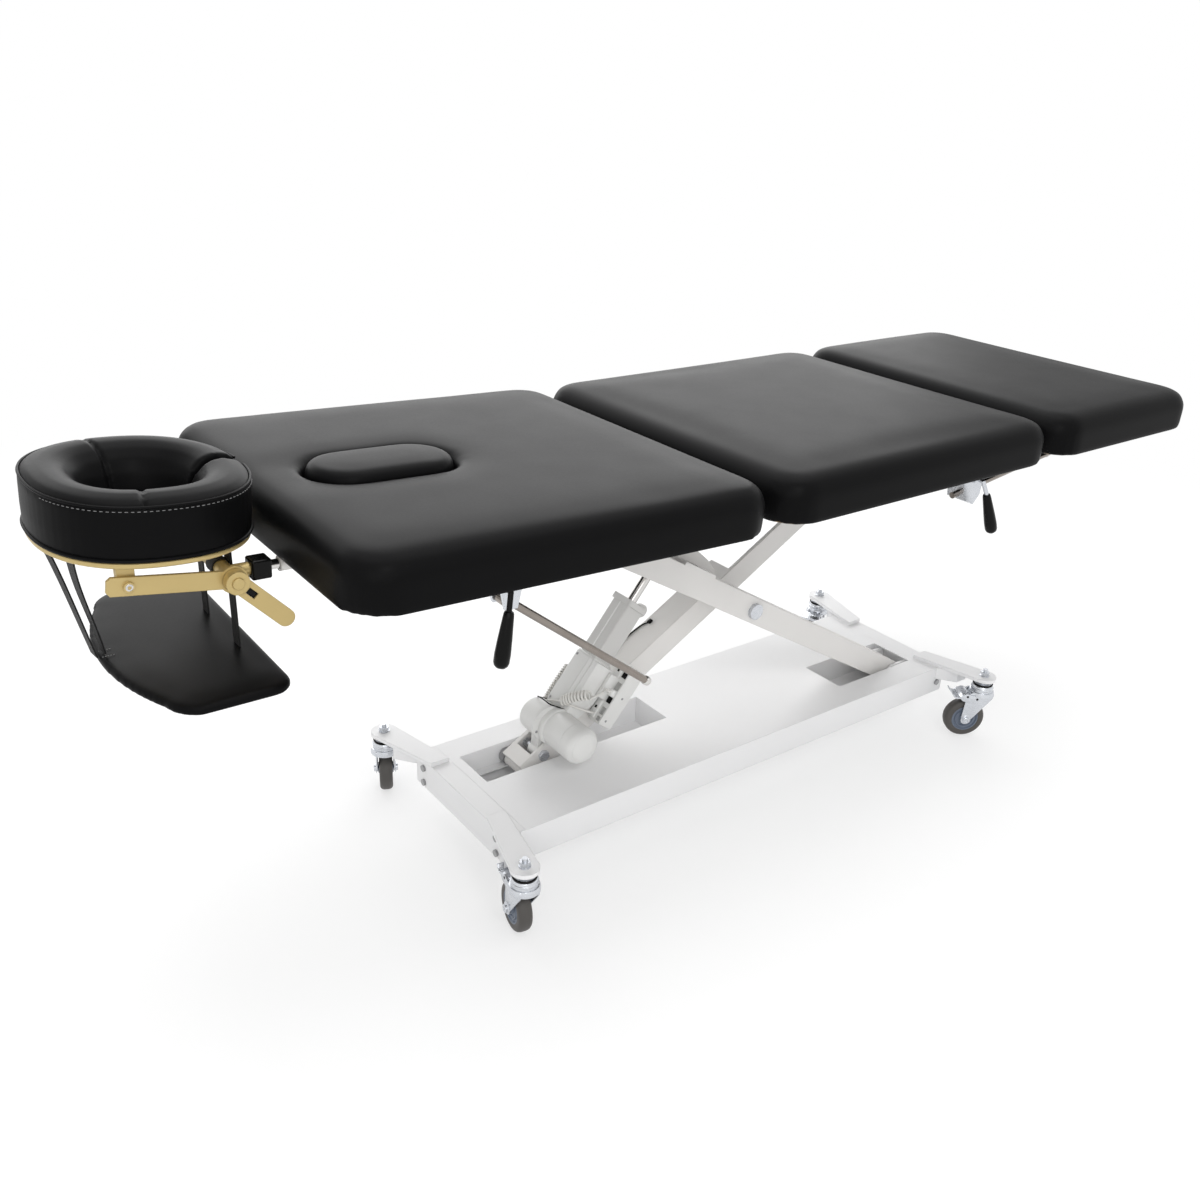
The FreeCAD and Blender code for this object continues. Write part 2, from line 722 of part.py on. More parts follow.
def coil_cord():
    """The curly lead from the actuator face to the control box, as one tube."""
    way = coil_end - coil_start
    length = way.Length
    way.normalize()
    up = V(0, 0, 1) - way * way.z
    up.normalize()
    side = way.cross(up)
    places = []
    for quarter in range(4 * coil_turns + 1):
        turn = math.pi / 2 * quarter
        share = quarter / (4 * coil_turns)
        radial = side * math.cos(turn) + up * math.sin(turn)
        tangent = (up * math.cos(turn) - side * math.sin(turn)) * coil_radius
        tangent = tangent + way * (length / (2 * math.pi * coil_turns))
        tangent.normalize()
        places.append((coil_start + way * (share * length) + radial * coil_radius, tangent))
    first = V(coil_start.x - 2, coil_start.y + 16, slab_face)
    last = coil_foot
    straight = 2 * coil_wire + 1
    rise_end = first + V(0, 0, straight)
    fall_start = last + V(0, 0, straight + 18)
    edges = [Part.LineSegment(first, rise_end).toShape()]
    stops = [(rise_end, V(0, 0, 1))] + places + [(fall_start, V(0, 0, -1))]
    for (start, start_way), (end, end_way) in zip(stops, stops[1:]):
        edges += two_arcs(start, start_way, end, end_way)
    edges.append(Part.LineSegment(fall_start, last).toShape())
    path = Part.Wire(edges)
    ring = Part.Wire([Part.Circle(first, V(0, 0, 1), coil_wire).toShape()])
    tube = path.makePipeShell([ring], True, False)
    print("least gap between turns of the coil", round(self_gap(edges, 2 * coil_wire), 2))
    return tube


def self_gap(edges, diameter):
    """The least clear distance between parts of a tube that are over three diameters apart along it."""
    points = []
    run = 0.0
    for edge in edges:
        steps = max(3, int(edge.Length / 1.5))
        for number in range(steps):
            at = edge.FirstParameter + (edge.LastParameter - edge.FirstParameter) * number / steps
            points.append((run + edge.Length * number / steps, edge.valueAt(at)))
        run += edge.Length
    least = 1e9
    for first_index, (first_run, first_point) in enumerate(points):
        for second_run, second_point in points[first_index + 1:]:
            if second_run - first_run > 3 * diameter:
                least = min(least, (second_point - first_point).Length - diameter)
    return least


# Table frame and sections
def channel(x0, x1, y0, y1):
    """A frame member under the boards, open below."""
    shell = block(x0, x1, y0, y1, frame_bottom, board_bottom)
    return shell.cut(block(x0 + 2, x1 - 2, y0 + 2, y1 - 2, frame_bottom - 1, board_bottom - 2))


bracket_y = (arm_b_y[0] - 7.0, arm_b_y[0] + bar_thickness + 2.0)
head_member_x = (head_joint + 10, head_joint + 10 + frame_width)
foot_member_x = (foot_joint - 9 - frame_width, foot_joint - 9)
track_y = (-18.0, 8.0)
track_start = upper_roller[0] - 126.5
track_end = top_pivot[0] - 34
lock_plate_y = (-262.0, -256.0)
hinge_lug = 12.0


def table_frame():
    rail_low = frame_rail_y - frame_width / 2
    rail_high = frame_rail_y + frame_width / 2
    side = channel(head_member_x[0], foot_member_x[1], rail_low, rail_high)
    members = [side, mirrored(side)]
    for x0, x1 in (head_member_x, foot_member_x):
        members.append(channel(x0, x1, -rail_low, rail_low))
    track_half = roller_radius + skin_gap
    roller_z = upper_roller[1]
    ceiling = block(track_start, foot_member_x[1], track_y[0], track_y[1], roller_z + track_half, frame_bottom)
    wall = block(track_start, track_end, track_y[1] - 3, track_y[1], roller_z - track_half - 3, frame_bottom)
    floor_top = roller_z - track_half
    floor = block(track_start, track_end, track_y[0], track_y[1], floor_top - 3, floor_top)
    stop = block(track_start, track_start + 4, track_y[0], track_y[1], roller_z - track_half - 3, frame_bottom)
    members += [ceiling, wall, floor, stop]
    x, z = top_pivot
    for y in bracket_y:
        cheek_plate = block(x - 18, x + 18, y, y + 5, z, frame_bottom + 2)
        members.append(joined([cheek_plate, across(x, z, y, y + 5, 18)]))
    hinge_low = hinge_y - hinge_lug
    head_lug = block(head_joint - 6, head_joint + 6, hinge_low, hinge_y - 1, frame_bottom, head_pivot_z)
    head_lug = joined([head_lug, across(head_joint, head_pivot_z, hinge_low, hinge_y - 1, 6)])
    head_foot = block(head_joint - 6, head_member_x[1], rail_high - 1, hinge_y - 1,
                      frame_bottom, board_bottom - 2)
    foot_lug = block(foot_member_x[0], foot_joint, rail_high - 1, hinge_y - 1, frame_bottom, board_bottom - 2)
    foot_lug = joined([foot_lug, across(foot_joint, foot_pivot_z, hinge_low, hinge_y - 1, 8)])
    members += [head_lug, mirrored(head_lug), head_foot, mirrored(head_foot), foot_lug, mirrored(foot_lug)]
    outrigger = block(foot_lock_x - 20, foot_lock_x + 20, lock_plate_y[0], -rail_low,
                      frame_bottom, frame_bottom + 6)
    hanger = block(foot_lock_x - 16, foot_lock_x + 16, lock_plate_y[0], lock_plate_y[1],
                   foot_lock_z, frame_bottom + 6)
    hanger_end = across(foot_lock_x, foot_lock_z, lock_plate_y[0], lock_plate_y[1], 16)
    lock_pin = across(foot_lock_x, foot_lock_z, lock_plate_y[0] - 8, lock_plate_y[0] + 1, 6)
    members += [outrigger, hanger, hanger_end, lock_pin]
    whole = joined(members)
    notch_y0 = arm_b_y[0] - 2
    notch_y1 = arm_b_y[0] + bar_thickness + 2
    whole = whole.cut(block(x - 32, x + 32, notch_y0, notch_y1, frame_bottom - 1, z + half_tube + 2))
    whole = whole.cut(across(x, z, bracket_y[0] - 1, bracket_y[1] + 6, pivot_radius + run_fit))
    for pivot_x, pivot_z in ((head_joint, head_pivot_z), (foot_joint, foot_pivot_z)):
        for y0 in (hinge_low - 2, -hinge_y):
            whole = whole.cut(across(pivot_x, pivot_z, y0, y0 + hinge_lug + 2, hinge_radius + run_fit))
    return whole


def hinge_pin(x, z, thick_head):
    shank = across(x, z, hinge_y - hinge_lug - 2, hinge_y + hinge_lug + 2, hinge_radius)
    head = across(x, z, hinge_y + hinge_lug, hinge_y + hinge_lug + 2, thick_head)
    return joined([shank, head])


def hinge_pins():
    pins = []
    for x, z in ((head_joint, head_pivot_z), (foot_joint, foot_pivot_z)):
        pin = hinge_pin(x, z, hinge_radius + 1.5)
        pins += [pin, mirrored(pin)]
    return Part.makeCompound(pins)


def outline(x0, x1, half, radius, inset, z, draw):
    """A rounded rectangle of arcs and slightly drawn-in sides at one level."""
    left = x0 + inset
    right = x1 - inset
    back = half - inset
    bend = min(max(radius - inset * 0.6, 6.0), back - 1.0)
    small = bend * (1 - math.sqrt(0.5))
    mid_x = (left + right) / 2

    def arc(a, b, c):
        return Part.Arc(V(a[0], a[1], z), V(b[0], b[1], z), V(c[0], c[1], z)).toShape()

    edges = [arc((left + bend, -back), (mid_x, -back + draw), (right - bend, -back)),
             arc((right - bend, -back), (right - small, -back + small), (right, -back + bend)),
             arc((right, -back + bend), (right - draw, 0), (right, back - bend)),
             arc((right, back - bend), (right - small, back - small), (right - bend, back)),
             arc((right - bend, back), (mid_x, back - draw), (left + bend, back)),
             arc((left + bend, back), (left + small, back - small), (left, back - bend)),
             arc((left, back - bend), (left + draw, 0), (left, -back + bend)),
             arc((left, -back + bend), (left + small, -back + small), (left + bend, -back))]
    return Part.Wire(edges)


def pad(x0, x1, half, radius, bottom, top, edge, rise, draw):
    """A crowned pad with a rolled top edge."""
    levels = [(2.0, bottom), (0.0, bottom + 5), (0.0, top - edge)]
    for degrees in (22, 42, 60, 76):
        turn = math.radians(degrees)
        levels.append((edge * (1 - math.cos(turn)), top - edge + edge * math.sin(turn)))
    levels.append((edge * 1.7, top + rise * 0.55))
    levels.append((edge * 3.0, top + rise))
    wires = [outline(x0, x1, half, radius, inset, z, draw) for inset, z in levels]
    return Part.makeLoft(wires, True, True)


board_inset = 7.0
ledge = 9.0


def section(x0, x1):
    """A cushion with the board let into its underside."""
    board_outline = outline(x0, x1, half_width, corner_radius, board_inset, board_bottom, 0.5)
    board = Part.Face(board_outline).extrude(V(0, 0, board_thickness))
    pocket_outline = outline(x0, x1, half_width, corner_radius, board_inset - skin_gap, board_bottom - 1, 0.5)
    pocket = Part.Face(pocket_outline).extrude(V(0, 0, board_thickness + 1))
    soft = pad(x0, x1, half_width, corner_radius, board_bottom, cushion_top, edge_radius, crown, 1.5)
    return board, soft.cut(pocket)


def obround(half_length, half, z0, z1):
    """An upright obround prism at the face opening."""
    wire = outline(plug_x - half_length, plug_x + half_length, half, half - 1, 0, z0, 0.05)
    return Part.Face(wire).extrude(V(0, 0, z1 - z0))


def head_section():
    board, soft = section(head_end, head_joint - section_gap / 2)
    hole = obround(plug_half_length + plug_gap, plug_half_width + plug_gap, board_bottom - 5, cushion_top + 20)
    soft = soft.cut(hole)
    board = board.cut(obround(plug_half_length - ledge, plug_half_width - ledge, board_bottom - 5, cushion_top))
    plug_top = cushion_top + crown + plug_proud
    seat = board_bottom + board_thickness
    plug = pad(plug_x - plug_half_length, plug_x + plug_half_length, plug_half_width, plug_half_width - 1,
               seat, plug_top - 5, 14, 5, 0.05)
    stem = obround(plug_half_length - ledge - 1, plug_half_width - ledge - 1, board_bottom + 2, seat + 2)
    return tipped(board), tipped(soft), tipped(joined([plug, stem]))


socket_x = (head_end + 10, head_end + 195)
head_rail_x = (head_end + 30, head_joint - 30)
head_cross_x = (head_rail_x[0], head_end + 180)
cross_width = 35.0


def head_frame():
    hinge_high = hinge_y + hinge_lug
    side = channel(head_rail_x[0], head_rail_x[1], hinge_y + 5, hinge_y + 35)
    lug = block(head_joint - 6, head_joint + 6, hinge_y, hinge_high - 1, frame_bottom + 4, head_pivot_z)
    lug = joined([lug, across(head_joint, head_pivot_z, hinge_y, hinge_high - 1, 6)])
    lug_foot = block(head_joint - 60, head_joint + 6, hinge_y, hinge_high - 1,
                     frame_bottom + 4, board_bottom - 1)
    pieces = [side, mirrored(side), lug, mirrored(lug), lug_foot, mirrored(lug_foot)]
    for x0 in head_cross_x:
        pieces.append(channel(x0, x0 + cross_width, -hinge_y - 6, hinge_y + 6))
    for y in (-rest_rod_y, rest_rod_y):
        pieces.append(along(socket_x[0], socket_x[1], y, rest_rod_z, rest_rod_radius + 4))
    whole = joined(pieces)
    for y in (-rest_rod_y, rest_rod_y):
        whole = whole.cut(along(socket_x[0] - 1, socket_x[1] + 1, y, rest_rod_z, rest_rod_radius + run_fit))
    for y0 in (hinge_y - 1, -hinge_high - 1):
        whole = whole.cut(across(head_joint, head_pivot_z, y0, y0 + hinge_lug + 2, hinge_radius + run_fit))
    return tipped(whole)


cheek = 6.0
lock_far = -262.0
lock_near = -300.0
lever_y = -309.0
lever_pin = 3.0
hub_half = 8.0
stem_radius = 4.0
grip_radius = 11.0


def lever_lugs(x, z):
    """Two lugs on the near side of a lock, with the pin that its lever turns on."""
    lugs = []
    for x0 in (x - hub_half - cheek, x + hub_half):
        lugs.append(block(x0, x0 + cheek, lever_y - 5, lock_near + 1, z - 6, z + 6))
    return lugs + [along(x - hub_half - cheek, x + hub_half + cheek, lever_y, z, lever_pin)]


def release_lever(x, z, lean, name_grip):
    """The bent lever of a lock, or its tapered grip."""
    hub_x0 = x - hub_half + face_gap
    hub_x1 = x + hub_half - face_gap
    elbow = V(x, lever_y - 16, z - 3)
    grip_top = V(x + lean * stem_drop, lever_y - 21, z - stem_drop)
    grip_foot = V(x + lean * (stem_drop + grip_drop), lever_y - 26, z - stem_drop - grip_drop)
    if name_grip:
        way = grip_foot - grip_top
        length = way.Length
        way.normalize()
        body = Part.makeCone(7.5, grip_radius, length - grip_radius + 3, grip_top, way)
        knob = Part.makeSphere(grip_radius, grip_foot - way * (grip_radius - 3))
        socket = between(grip_top - way, grip_top + way * 30, stem_radius + run_fit)
        return joined([body, knob]).cut(socket)
    hub = along(hub_x0, hub_x1, lever_y, z, 6)
    way = grip_foot - grip_top
    way.normalize()
    bent = [between(V(x, lever_y, z), elbow, stem_radius), Part.makeSphere(stem_radius, elbow),
            between(elbow, grip_top - way * 3, stem_radius), Part.makeSphere(stem_radius, grip_top - way * 3),
            between(grip_top - way * 3, grip_top + way * 30, stem_radius)]
    whole = joined([hub] + bent)
    return whole.cut(along(hub_x0 - 1, hub_x1 + 1, lever_y, z, lever_pin + run_fit))


head_lever_x = head_lock_x - 19
head_lever_z = head_lock_z + 33


def head_lock():
    x = head_lock_x
    z = head_lock_z
    pieces = []
    for y0 in (lock_far - cheek, lock_near):
        pieces.append(upright([(x - 18, frame_bottom), (x + 16, frame_bottom), (x + 10, z - 9),
                               (x - 10, z - 9)], y0, y0 + cheek))
    pieces.append(block(x - 18, x + 16, lock_near, lock_far, frame_bottom - 6, frame_bottom))
    pieces.append(upright([(head_lever_x - 15, head_lever_z - 9), (head_lever_x - 15, head_lever_z + 6),
                           (head_lever_x + 15, head_lever_z + 6), (x + 16, frame_bottom),
                           (x + 16, frame_bottom - 6)], lock_near, lock_near + cheek))
    pieces.append(across(x, z, lock_near, lock_far, 5))
    return tipped(joined(pieces + lever_lugs(head_lever_x, head_lever_z)))


head_rod_fall = 38.0
head_rod_length = 335.0


def head_rod():
    x, z = tip_point(head_lock_x, head_lock_z)
    eye = across(0, 0, stay_y - 8, stay_y + 8, 10)
    shaft = along(0, head_rod_length, stay_y, 0, stay_radius)
    bore = across(0, 0, stay_y - 20, stay_y + 20, 5 + run_fit)
    return raised(joined([eye, shaft]).cut(bore), -head_rod_fall, x, z)


stay_rise = math.degrees(math.atan2(stay_pin_z - foot_lock_z, stay_pin_x - foot_lock_x))
stay_length = math.hypot(stay_pin_z - foot_lock_z, stay_pin_x - foot_lock_x)
foot_lever_x = foot_lock_x - 19
foot_lever_z = foot_lock_z + 31


def foot_lock():
    x = foot_lock_x
    z = foot_lock_z
    near = lock_near
    far = lock_plate_y[0] - face_gap
    body = upright([(x - 32, z - 14), (x - 38, z + 16), (x - 38, z + 37), (x + 6, z + 37), (x + 16, z + 12),
                    (x + 14, z - 9), (x - 2, z - 27), (x - 12, z - 20)], near, far)
    whole = joined([body] + lever_lugs(foot_lever_x, foot_lever_z))
    whole = whole.cut(across(x, z, lock_plate_y[0] - 8 - face_gap, far + 1, 6 + run_fit))
    bore = along(-80, 80, stay_y - 3, 0, stay_radius + run_fit)
    return whole.cut(raised(bore, stay_rise, x, z))


def foot_rod():
    shaft = along(-48, stay_length + 9, stay_y - 3, 0, stay_radius)
    pin = across(stay_length, 0, stay_y - 3, stay_plate_y[1] + 3, stay_pin_radius)
    return raised(joined([shaft, pin]), stay_rise, foot_lock_x, foot_lock_z)


stay_plate_y = (-276.0, -270.0)
stay_slot = 4.0
stay_slot_rise = 5.0
stay_pin_radius = 4.0
foot_rail_x = (foot_joint + 33, foot_end - 33)


def foot_frame():
    hinge_high = hinge_y + hinge_lug
    side = channel(foot_rail_x[0], foot_rail_x[1], hinge_y + 5, hinge_y + 35)
    lug = block(foot_joint, foot_rail_x[0] + 15, hinge_y, hinge_high - 1, foot_pivot_z - 8, foot_pivot_z + 8)
    lug = joined([lug, across(foot_joint, foot_pivot_z, hinge_y, hinge_high - 1, 8)])
    pieces = [side, mirrored(side), lug, mirrored(lug)]
    for x0 in (foot_rail_x[0], foot_rail_x[1] - frame_width):
        pieces.append(channel(x0, x0 + frame_width, -hinge_y - 6, hinge_y + 6))
    plate_y0, plate_y1 = stay_plate_y
    pieces.append(block(stay_pin_x - 18, stay_pin_x + 18, plate_y0, plate_y1, stay_pin_z - 13, board_bottom))
    whole = joined(pieces)
    reach_y = (plate_y0 - 9, plate_y1 + 9)
    radius = stay_pin_radius + slot_play
    slot = joined([across(-stay_slot, 0, reach_y[0], reach_y[1], radius),
                   across(stay_slot, 0, reach_y[0], reach_y[1], radius),
                   block(-stay_slot, stay_slot, reach_y[0], reach_y[1], -radius, radius)])
    whole = whole.cut(raised(slot, stay_slot_rise, stay_pin_x, stay_pin_z))
    for y0 in (hinge_y - 1, -hinge_high - 1):
        whole = whole.cut(across(foot_joint, foot_pivot_z, y0, y0 + hinge_lug + 2, hinge_radius + run_fit))
    return whole


# Face rest
rest_axis = tip_point(rest_axis_x, rest_rod_z)
block_x = (head_end - 32, head_end - 4)
yoke_pin = 8.0
yoke_radius = 11.0
cam_y = (-136.0, -122.0)


def rest_rods():
    return tipped(pair(along(block_x[0], socket_x[1] - 30, rest_rod_y, rest_rod_z, rest_rod_radius)))


def rest_blocks():
    body = block(block_x[0], block_x[1], rest_rod_y - 14, rest_rod_y + 14, rest_rod_z - 14, rest_rod_z + 14)
    body = body.makeFillet(3, body.Edges)
    bore = along(block_x[0] - 1, block_x[1] + 1, rest_rod_y, rest_rod_z, rest_rod_radius + run_fit)
    return tipped(pair(body.cut(bore)))


def rest_yoke():
    tube = across(rest_axis_x, rest_rod_z, -bar_y[0] + 1, bar_y[0] - 1, yoke_radius)
    pin = across(rest_axis_x, rest_rod_z, cam_y[0] - 2, bar_y[1] + 6, yoke_pin)
    stubs = [along(rest_axis_x, block_x[0], y, rest_rod_z, 9.5) for y in (-rest_rod_y, rest_rod_y)]
    return tipped(joined([tube, pin] + stubs))


bar_far = (pillow_x - 63, pillow_bottom - 24)
bar_half = 12.5


def rest_bars():
    axis_x, axis_z = rest_axis
    far_x, far_z = bar_far
    run = math.hypot(far_x - axis_x, far_z - axis_z)
    rise = math.degrees(math.atan2(far_z - axis_z, axis_x - far_x))
    y0, y1 = bar_y
    tip = -run - bar_half
    flat = upright([(0, -bar_half), (0, bar_half), (tip + 5, bar_half), (tip, bar_half - 5),
                    (tip, 5 - bar_half), (tip + 5, -bar_half)], y0, y1)
    flat = joined([flat, across(0, 0, y0, y1, 19)])
    bolt = across(-run + 14, 0, y1, y1 + 4, 7)
    whole = joined([flat, bolt]).cut(across(0, 0, y0 - 1, y1 + 1, yoke_pin + run_fit))
    return pair(raised(whole, -rise, axis_x, axis_z))


cam_length = 90.0
cam_half = 12.5
cam_fall = 47.0


def cam_lever():
    y0, y1 = cam_y
    hub = across(0, 0, y0, y1, 16)
    bar = joined([block(0, cam_length, y0 + 3, y0 + 9, -cam_half, cam_half),
                  across(cam_length, 0, y0 + 3, y0 + 9, cam_half)])
    slot = block(18, 34, y0, y0 + 12, -4.5, 4.5)
    whole = joined([hub, bar]).cut(slot).cut(across(0, 0, y0 - 1, y1 + 1, yoke_pin + run_fit))
    return raised(whole, -cam_fall, rest_axis[0], rest_axis[1])


mouth_half = 9.0
plate_radius = pillow_radius - 4
plate_hole = 60.0


def rest_plate():
    low = pillow_bottom - plate_thickness
    mouth = mouth_half + 6
    disc = post(pillow_x, 0, low, pillow_bottom, plate_radius)
    disc = disc.cut(post(pillow_x, 0, low - 1, pillow_bottom + 1, plate_hole))
    disc = disc.cut(block(pillow_x, pillow_x + plate_radius + 1, -mouth, mouth, low - 1, pillow_bottom + 1))
    tab_x = bar_far[0] + 14
    tab = block(tab_x - 11, tab_x + 11, 100, bar_y[0], bar_far[1] - 9, pillow_bottom)
    return joined([disc, tab, mirrored(tab)])


def face_pillow():
    low = pillow_bottom
    high = pillow_bottom + pillow_height
    radii = [(58, 0), (pillow_radius - 3, 0), (pillow_radius, 5), (pillow_radius, 60), (pillow_radius - 3, 67),
             (pillow_radius - 10, 73), (pillow_radius - 22, 78), (pillow_radius - 38, 80), (86, 78), (76, 71),
             (67, 59), (61, 44), (58, 24)]
    profile = [V(pillow_x + r, 0, low + up) for r, up in radii]
    gap_turn = 2 * math.degrees(math.asin(mouth_half / 96.0))
    ring = turned(profile, V(pillow_x, 0, low), V(0, 0, 1), 360 - gap_turn)
    ring.rotate(V(pillow_x, 0, high), V(0, 0, 1), gap_turn / 2)
    return ring


strap_width = 22.0
strap_thickness = 2.5


def strap(start, end, across_way, width):
    """A flat strap between two points."""
    way = end - start
    side = across_way - way * (across_way.dot(way) / way.dot(way))
    side.normalize()
    normal = way.cross(side)
    normal.normalize()
    corner = start - side * (width / 2) - normal * (strap_thickness / 2)
    far = corner + side * width
    face = Part.Face(Part.makePolygon([corner, far, far + normal * strap_thickness,
                                       corner + normal * strap_thickness, corner]))
    return face.extrude(way)


def shelf_straps():
    yard = V(0, 1, 0)
    low = pillow_bottom - plate_thickness
    front = V(shelf_front + 14, 0, shelf_top)
    fork_point = V(shelf_front - 2, 0, shelf_top + 61)
    pieces = [strap(front, fork_point + V(0, 0, 10), yard, strap_width)]
    for y in (-44.0, 44.0):
        top = V(pillow_x - 100, y, low)
        pieces.append(strap(fork_point, top, yard, strap_width - 4))
    whole = joined(pieces)
    room = 2 * strap_width
    front_x = shelf_front - room
    whole = whole.cut(block(front_x, pillow_x, -shelf_half, shelf_half, low, low + room))
    whole = whole.cut(block(front_x, pillow_x, -shelf_half, shelf_half, shelf_top - room, shelf_top))
    axis_x, axis_z = rest_axis
    loop_inner = yoke_radius + face_gap
    y0 = drop_y - strap_width / 2
    y1 = drop_y + strap_width / 2
    loop = across(axis_x, axis_z, y0, y1, loop_inner + strap_thickness)
    fall = block(axis_x + loop_inner, axis_x + loop_inner + strap_thickness, y0, y1, shelf_top, axis_z)
    drop = joined([loop, fall]).cut(across(axis_x, axis_z, y0 - 1, y1 + 1, loop_inner))
    return Part.makeCompound([whole, drop, mirrored(drop)])


drop_y = 62.0
shelf_front = pillow_x - 74
shelf_back = head_end - 20
shelf_side = shelf_back - 120
shelf_half = 210.0


def arm_shelf():
    low = shelf_top - shelf_thickness

    def arc(a, b, c):
        return Part.Arc(V(a[0], a[1], low), V(b[0], b[1], low), V(c[0], c[1], low)).toShape()

    def line(a, b):
        return Part.LineSegment(V(a[0], a[1], low), V(b[0], b[1], low)).toShape()

    side = shelf_half - 30
    shoulder = shelf_half - 45
    edges = [line((shelf_back, -side), (shelf_back, side)),
             arc((shelf_back, side), (shelf_back - 9, shelf_half - 9), (shelf_back - 30, shelf_half)),
             line((shelf_back - 30, shelf_half), (shelf_side, shelf_half)),
             arc((shelf_side, shelf_half), (shelf_side - 25, shelf_half - 14), (shelf_side - 40, shoulder)),
             arc((shelf_side - 40, shoulder), (shelf_front, 0), (shelf_side - 40, -shoulder)),
             arc((shelf_side - 40, -shoulder), (shelf_side - 25, 14 - shelf_half), (shelf_side, -shelf_half)),
             line((shelf_side, -shelf_half), (shelf_back - 30, -shelf_half)),
             arc((shelf_back - 30, -shelf_half), (shelf_back - 9, 9 - shelf_half), (shelf_back, -side))]
    return Part.Face(Part.Wire(edges)).extrude(V(0, 0, shelf_thickness))


# Base and casters
save("base_tray", base_tray())
save("head_beam", beam(-1))
save("foot_beam", foot_beam())
save("caster_arms", Part.makeCompound(four_corners(caster_arm())))
save("caster_stems", Part.makeCompound(four_corners(caster_stem())))
save("frame_bolts", frame_bolts())
ear_low = arm_a_y[0] - ear_gap - ear_thickness
ear_high = arm_a_y[1] + ear_gap + ear_thickness
save("base_pivot_bolt", pivot_bolt(base_pivot[0], base_pivot[1], ear_low, ear_high))
for node, piece in casters().items():
    save(node, piece)

# Scissor
save("arm_a", raised(arm_a(), -rest_angle, cross_x, cross_z))
save("arm_a_roller", raised(roller(roller_a_y, -half_arm), -rest_angle, cross_x, cross_z))
save("arm_b", raised(arm_b(), rest_angle, cross_x, cross_z))
save("arm_b_roller", raised(roller(roller_b_y, -half_arm), rest_angle, cross_x, cross_z))
save("eye_bolt", raised(eye_bolt(), rest_angle, eye_x, eye_z))
save("scissor_bolt", raised(scissor_bolt(), rest_angle, cross_x, cross_z))
save("arm_b_pin", pivot_bolt(top_pivot[0], top_pivot[1], bracket_y[0], bracket_y[1] + 5))

# Actuator
actuator_pieces = {"actuator_housing": actuator_housing(), "motor": motor(), "actuator_tube": actuator_tube(),
                   "actuator_rod": actuator_rod(), "control_box": control_box(), "coil_cord": coil_cord()}
for node, piece in actuator_pieces.items():
    save(node, raised(piece, actuator_rise, eye_x, eye_z))

# Table top
mid_board, mid_cushion = section(head_joint + section_gap / 2, foot_joint - section_gap / 2)
foot_board, foot_cushion = section(foot_joint + section_gap / 2, foot_end)
head_board, head_cushion, face_plug = head_section()
save("table_frame", table_frame())
save("hinge_pins", hinge_pins())
save("mid_board", mid_board)
save("mid_cushion", mid_cushion)
save("head_frame", head_frame())
save("head_board", head_board)
save("head_cushion", head_cushion)
save("face_plug", face_plug)
save("foot_frame", foot_frame())
save("foot_board", foot_board)
save("foot_cushion", foot_cushion)

# Stays and their levers
save("head_lock", head_lock())
save("head_rod", head_rod())
save("head_lever", tipped(release_lever(head_lever_x, head_lever_z, head_lean, False)))
save("head_grip", tipped(release_lever(head_lever_x, head_lever_z, head_lean, True)))
save("foot_lock", foot_lock())
save("foot_rod", foot_rod())
save("foot_lever", release_lever(foot_lever_x, foot_lever_z, foot_lean, False))
save("foot_grip", release_lever(foot_lever_x, foot_lever_z, foot_lean, True))

# Face rest
save("cradle_rods", rest_rods())
save("cradle_blocks", rest_blocks())
save("cradle_yoke", rest_yoke())
save("cradle_bars", rest_bars())
save("cam_lever", cam_lever())
save("cradle_plate", rest_plate())
save("face_pillow", face_pillow())
save("shelf_straps", shelf_straps())
save("arm_shelf", arm_shelf())
print("actuator eye", round(eye_x, 2), round(eye_z, 2), "rise", round(actuator_rise, 3))
print("actuator length", round(actuator_length, 2))
print("rod eye", round(rod_eye_x, 2), round(rod_eye_z, 2), "shift", round(origin_shift, 2))
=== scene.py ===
import json
import math

import bmesh
import bpy
import numpy
from mathutils import Matrix, Vector, geometry


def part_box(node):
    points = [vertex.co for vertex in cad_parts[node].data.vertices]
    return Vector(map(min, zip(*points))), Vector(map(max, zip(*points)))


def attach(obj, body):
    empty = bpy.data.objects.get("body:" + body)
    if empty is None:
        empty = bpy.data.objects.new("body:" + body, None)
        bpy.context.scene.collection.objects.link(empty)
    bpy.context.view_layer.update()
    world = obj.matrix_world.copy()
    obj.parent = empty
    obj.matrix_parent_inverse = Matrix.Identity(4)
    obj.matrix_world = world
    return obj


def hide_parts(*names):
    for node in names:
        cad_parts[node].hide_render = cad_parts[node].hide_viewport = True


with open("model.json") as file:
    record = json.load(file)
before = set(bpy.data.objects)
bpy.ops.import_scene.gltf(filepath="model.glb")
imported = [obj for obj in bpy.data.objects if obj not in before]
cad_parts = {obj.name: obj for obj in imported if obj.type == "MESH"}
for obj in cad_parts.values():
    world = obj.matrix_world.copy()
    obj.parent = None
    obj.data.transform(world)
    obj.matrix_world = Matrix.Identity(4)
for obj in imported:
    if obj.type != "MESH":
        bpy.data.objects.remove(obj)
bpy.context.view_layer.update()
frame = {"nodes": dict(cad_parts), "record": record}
JOINTS = {joint["name"]: joint for joint in frame["record"]["behaviour"]["joints"]}


def joint_place(name):
    return Vector(JOINTS[name]["pos_m"])


def node_box(name):
    low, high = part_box(name)
    return Vector(low), Vector(high)


